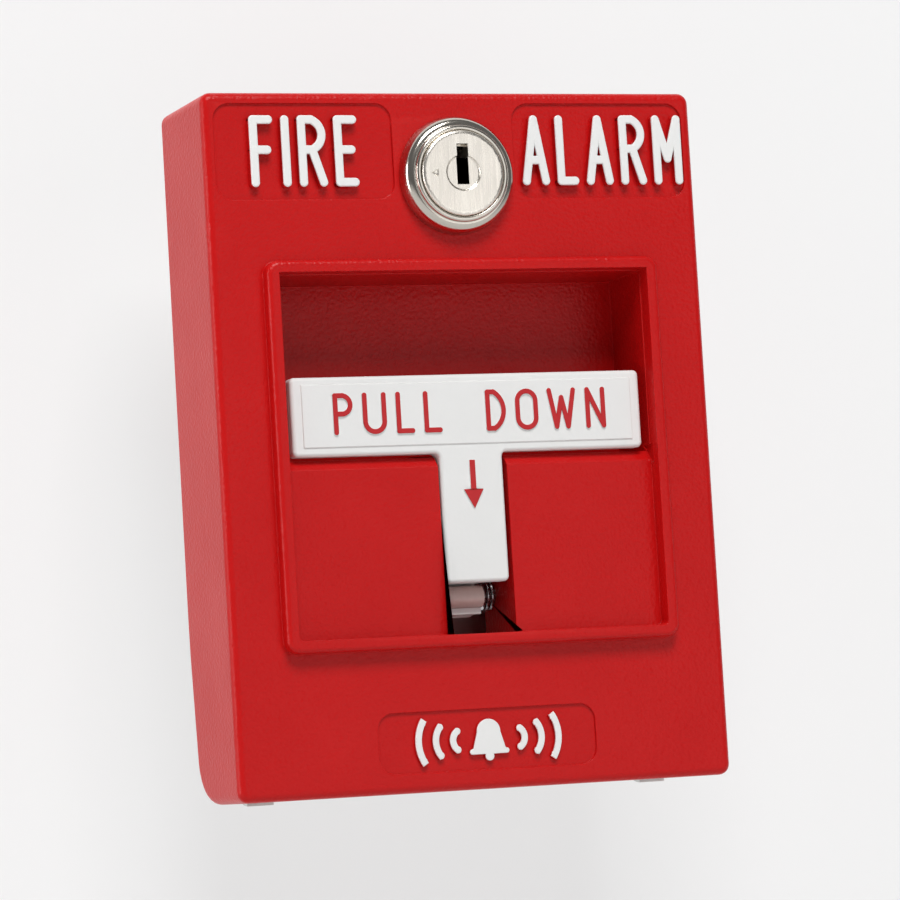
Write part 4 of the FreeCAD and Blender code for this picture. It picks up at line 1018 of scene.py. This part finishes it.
# %% Group: brushed metal
brushed, given, out = new_group("brushed_lines", [
    ("Along", "Vector", (1.0, 1.0, 1.0)), ("Gloss", "Float", 0.25), ("Gloss Range", "Float", 0.2)],
    [("Height", "Float"), ("Roughness", "Float")])
stretch = brushed.nodes.new("ShaderNodeMapping")
brushed.links.new(object_coordinate(brushed), stretch.inputs["Vector"])
brushed.links.new(given.outputs["Along"], stretch.inputs["Scale"])
lines = noise(brushed, stretch.outputs["Vector"], 2500.0, 2.0, 0.6)
brushed.links.new(lines, out.inputs["Height"])
swing = math_node(brushed, "MULTIPLY", math_node(brushed, "SUBTRACT", lines, 0.5),
                  given.outputs["Gloss Range"])
gloss = math_node(brushed, "ADD", given.outputs["Gloss"], swing, clamp=True)
brushed.links.new(gloss, out.inputs["Roughness"])
print(brushed.name, len(brushed.nodes), "nodes")
print("node groups:", [group.name for group in bpy.data.node_groups])

# %% [markdown]
# ## From groups to materials
#
# A material places a group with values of its own and sends a height to a bump.  Bump distances are given in
# millimetres like the sizes of the pieces.


# %% Placing groups and bumps in a material
def use(nodes, group, **values):
    """Place a group with its own values; names are written with underscores."""
    node = nodes.new("ShaderNodeGroup")
    node.node_tree = group
    for name, value in values.items():
        node.inputs[name.replace("_", " ")].default_value = value
    return node


def add_bump(nodes, links, shader, height, distance):
    """Send a height to the shader's normal; the distance is in millimetres."""
    bump = nodes.new("ShaderNodeBump")
    bump.inputs["Distance"].default_value = distance * MM
    bump.inputs["Strength"].default_value = 1.0
    links.new(height, bump.inputs["Height"])
    links.new(bump.outputs["Normal"], shader.inputs["Normal"])


def rgba(red, green, blue):
    """Opaque colour from linear values."""
    return (red, green, blue, 1.0)


# %% [markdown]
# ## Moulded plastics
#
# The cover is a pigmented moulding with the fine leathery grain of a spark-eroded tool: the grain is a bump
# about half a millimetre across and only hundredths deep.  Handled edges are rubbed a little paler.  On the
# raised signs white paint covers the tops, so a mask on depth switches the colour there.

# %% Plastic finishes
RED, RED_DEEP, RED_RUBBED = rgba(0.56, 0.005, 0.005), rgba(0.44, 0.002, 0.003), rgba(0.72, 0.035, 0.03)
WHITE, WHITE_DEEP, WHITE_RUBBED = rgba(0.83, 0.83, 0.82), rgba(0.74, 0.74, 0.73), rgba(0.9, 0.9, 0.9)
INK_RED = rgba(0.50, 0.018, 0.022)


def plastic(name, base, deep, rubbed_to, gloss, grain_size, grain_deep, rub=0.35, ink_colour=None,
            ink_level=0.0, shine=0.3):
    """Moulded plastic; with an ink colour, all that stands ahead of the level is painted."""
    material, nodes, links, shader = new_material(name)
    colour = use(nodes, mottle, Base=base, Deep=deep, Per_Metre=70.0, Amount=0.55, Gloss=gloss,
                 Gloss_Range=0.12)
    edge = use(nodes, rubbed, Rubbed=rubbed_to, Reach=7.0, Amount=rub)
    links.new(colour.outputs["Color"], edge.inputs["Base"])
    surface = edge.outputs["Color"]
    if ink_colour:
        mask = use(nodes, ink, Level=ink_level * MM)
        surface = mix_colour(material.node_tree, mask.outputs["Mask"], surface, ink_colour)
    links.new(surface, shader.inputs["Base Color"])
    links.new(colour.outputs["Roughness"], shader.inputs["Roughness"])
    shader.inputs["Specular IOR Level"].default_value = shine
    leather = use(nodes, grain, Per_Metre=1000.0 / grain_size, Depth=1.0)
    add_bump(nodes, links, shader, leather.outputs["Height"], grain_deep)
    return material


red_plastic = plastic("red_moulding", RED, RED_DEEP, RED_RUBBED, 0.34, 0.6, 0.07, shine=0.22)
white_plastic = plastic("white_moulding", WHITE, WHITE_DEEP, WHITE_RUBBED, 0.4, 0.8, 0.012, 0.2)
black_plastic = plastic("black_moulding", rgba(0.02, 0.02, 0.022), rgba(0.012, 0.012, 0.013),
                        rgba(0.07, 0.07, 0.07), 0.45, 0.5, 0.02)
button_plastic = plastic("red_button", rgba(0.5, 0.02, 0.015), rgba(0.35, 0.01, 0.01), rgba(0.7, 0.1, 0.08),
                         0.35, 0.6, 0.008)
red_sleeve = plastic("red_wire_sleeve", rgba(0.5, 0.015, 0.012), rgba(0.38, 0.008, 0.008),
                     rgba(0.6, 0.1, 0.1), 0.42, 0.4, 0.006)
black_sleeve = plastic("black_wire_sleeve", rgba(0.02, 0.02, 0.02), rgba(0.01, 0.01, 0.01),
                       rgba(0.06, 0.06, 0.06), 0.42, 0.4, 0.006)
print("plain plastics:", red_plastic.name, white_plastic.name, black_plastic.name, button_plastic.name)

# %% Painted signs
WORD_PAINT_DEEP, BELL_PAINT_DEEP, CALL_PAINT_DEEP = 0.3, 0.35, 0.09
RED_SIGN = RED, RED_DEEP, RED_RUBBED, 0.38, 0.7, 0.02, 0.2, WHITE
WHITE_SIGN = WHITE, WHITE_DEEP, WHITE_RUBBED, 0.4, 0.8, 0.01, 0.2, INK_RED
word_paint = plastic("red_moulding_white_tops", *RED_SIGN, PLAQUE_FLOOR - WORD_RISE + WORD_PAINT_DEEP)
bell_paint = plastic("red_moulding_white_bell", *RED_SIGN, PLAQUE_FLOOR - BELL_RISE + BELL_PAINT_DEEP)
call_paint = plastic("white_moulding_red_words", *WHITE_SIGN, CALL_FLOOR - CALL_RISE + CALL_PAINT_DEEP)
arrow_paint = plastic("white_moulding_red_arrow", *WHITE_SIGN, LEVER_FACE - CALL_RISE + CALL_PAINT_DEEP)
print("paint on signs:", word_paint.name, bell_paint.name, call_paint.name, arrow_paint.name)

# %% [markdown]
# ## Metals and the break rod
#
# The lock is warm nickel: its shoulder is polished and its face satin, with fine turning lines.  The plate is
# zinc-plated steel, the terminals are brass.  The break rod is a frosted clear plastic that a pull snaps; its
# pink tint is painted red bounce light from the cover.


# %% Metal finishes
def metal(name, base, deep, gloss, gloss_range, along, line_deep, rub=0.3, patch=90.0):
    """Brushed metal; the lines run along the axis whose number is small."""
    material, nodes, links, shader = new_material(name)
    colour = use(nodes, mottle, Base=base, Deep=deep, Per_Metre=patch, Amount=0.7, Gloss=gloss,
                 Gloss_Range=0.15)
    edge = use(nodes, rubbed, Rubbed=rgba(0.9, 0.89, 0.86), Reach=6.0, Amount=rub)
    links.new(colour.outputs["Color"], edge.inputs["Base"])
    links.new(edge.outputs["Color"], shader.inputs["Base Color"])
    hair = use(nodes, brushed, Along=along, Gloss=gloss, Gloss_Range=gloss_range)
    links.new(math_node(material.node_tree, "MULTIPLY", hair.outputs["Roughness"],
                        math_node(material.node_tree, "ADD", colour.outputs["Roughness"], 1 - gloss)),
              shader.inputs["Roughness"])
    shader.inputs["Metallic"].default_value = 1.0
    add_bump(nodes, links, shader, hair.outputs["Height"], line_deep)
    return material


polished_nickel = metal("polished_nickel", rgba(0.64, 0.60, 0.54), rgba(0.52, 0.48, 0.42), 0.16, 0.1,
                        (0.1, 1, 0.1), 0.0004)
satin_nickel = metal("satin_nickel", rgba(0.93, 0.88, 0.80), rgba(0.84, 0.78, 0.70), 0.27, 0.2,
                     (1, 0.3, 0.05), 0.003)
bright_steel = metal("bright_steel", rgba(0.62, 0.62, 0.62), rgba(0.45, 0.45, 0.46), 0.25, 0.2,
                     (0.1, 1, 1), 0.003)
spring_steel = metal("spring_steel", rgba(0.42, 0.42, 0.43), rgba(0.28, 0.28, 0.29), 0.28, 0.2,
                     (1, 1, 1), 0.002)
zinc_plate = metal("zinc_plate", rgba(0.66, 0.67, 0.66), rgba(0.50, 0.51, 0.49), 0.38, 0.25,
                   (1, 1, 0.04), 0.004, 0.3, 160.0)
brass_metal = metal("brass", rgba(0.72, 0.50, 0.20), rgba(0.52, 0.34, 0.13), 0.28, 0.2,
                    (0.2, 1, 1), 0.003)
print("metals:", polished_nickel.name, satin_nickel.name, bright_steel.name, zinc_plate.name,
      brass_metal.name)

# %% Frosted rod
# The rod's pale pink and deeper pink are painted red bounce light from the cover on clear plastic, mottled at
# random.
frosted, nodes, links, shader = new_material("frosted_rod_painted_red_bounce")
rod_tone_painted_red_bounce = use(nodes, mottle, Base=rgba(0.80, 0.62, 0.58), Deep=rgba(0.62, 0.42, 0.38), Per_Metre=400.0,
             Amount=0.8, Gloss=0.34, Gloss_Range=0.2)
links.new(rod_tone_painted_red_bounce.outputs["Color"], shader.inputs["Base Color"])
links.new(rod_tone_painted_red_bounce.outputs["Roughness"], shader.inputs["Roughness"])
shader.inputs["Transmission Weight"].default_value = 0.15
shader.inputs["IOR"].default_value = 1.49
speckle = use(nodes, grain, Per_Metre=2400.0, Depth=1.0)
add_bump(nodes, links, shader, speckle.outputs["Height"], 0.01)
print("finishes:", len(bpy.data.materials))

# %% [markdown]
# ## Pieces on their bodies
#
# The raised signs ride with the piece they stand on, so they need no frame node of their own.  The inner
# pieces stay as the frame gives them and receive only their finish.


# %% Put the pieces on their bodies
def dress(piece, material, body, slot, *nodes_replaced):
    """Give a piece its finish, its body and the frame nodes it stands for; the slot argument is not used."""
    piece.data.materials.clear()
    piece.data.materials.append(material)
    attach(piece, body)
    if nodes_replaced:
        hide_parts(*nodes_replaced)


dress(cover, red_plastic, "cover", "red_cover", "front_cover")
dress(fire, word_paint, "cover", "red_cover")
dress(alarm, word_paint, "cover", "red_cover")
dress(bell, bell_paint, "cover", "red_cover")
dress(lever, white_plastic, "lever", "white_lever", "pull_lever")
dress(pull, call_paint, "lever", "white_lever")
dress(down, call_paint, "lever", "white_lever")
dress(arrow, arrow_paint, "lever", "white_lever")
dress(bezel, polished_nickel, "cover", "chrome", "lock_barrel")
dress(plug, satin_nickel, "lock", "chrome", "lock_plug")

CAD_FINISHES = {
    "base_plate": zinc_plate, "hinge_pins": bright_steel, "lever_spring": spring_steel,
    "lever_shaft": bright_steel, "shaft_clips": spring_steel, "break_rod": frosted,
    "lock_nut": polished_nickel, "lock_cam": bright_steel,
    "cam_screw": bright_steel, "switch_case": black_plastic, "switch_plunger": button_plastic,
    "switch_screws": bright_steel, "switch_tabs": brass_metal, "terminal_block": black_plastic,
    "terminal_screws": bright_steel, "terminal_clamps": bright_steel, "common_lead": red_sleeve,
    "alarm_lead": black_sleeve,
}
for name, material in CAD_FINISHES.items():
    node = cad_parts[name]
    if not node.data.materials:
        node.data.materials.append(material)
    for held in node.material_slots:
        held.material = material
print("frame nodes kept:", len(CAD_FINISHES))

# %% [markdown]
# ## Last step
#
# Nothing is left selected at the end.

# %% Clear the selection
bpy.ops.object.select_all(action="DESELECT")
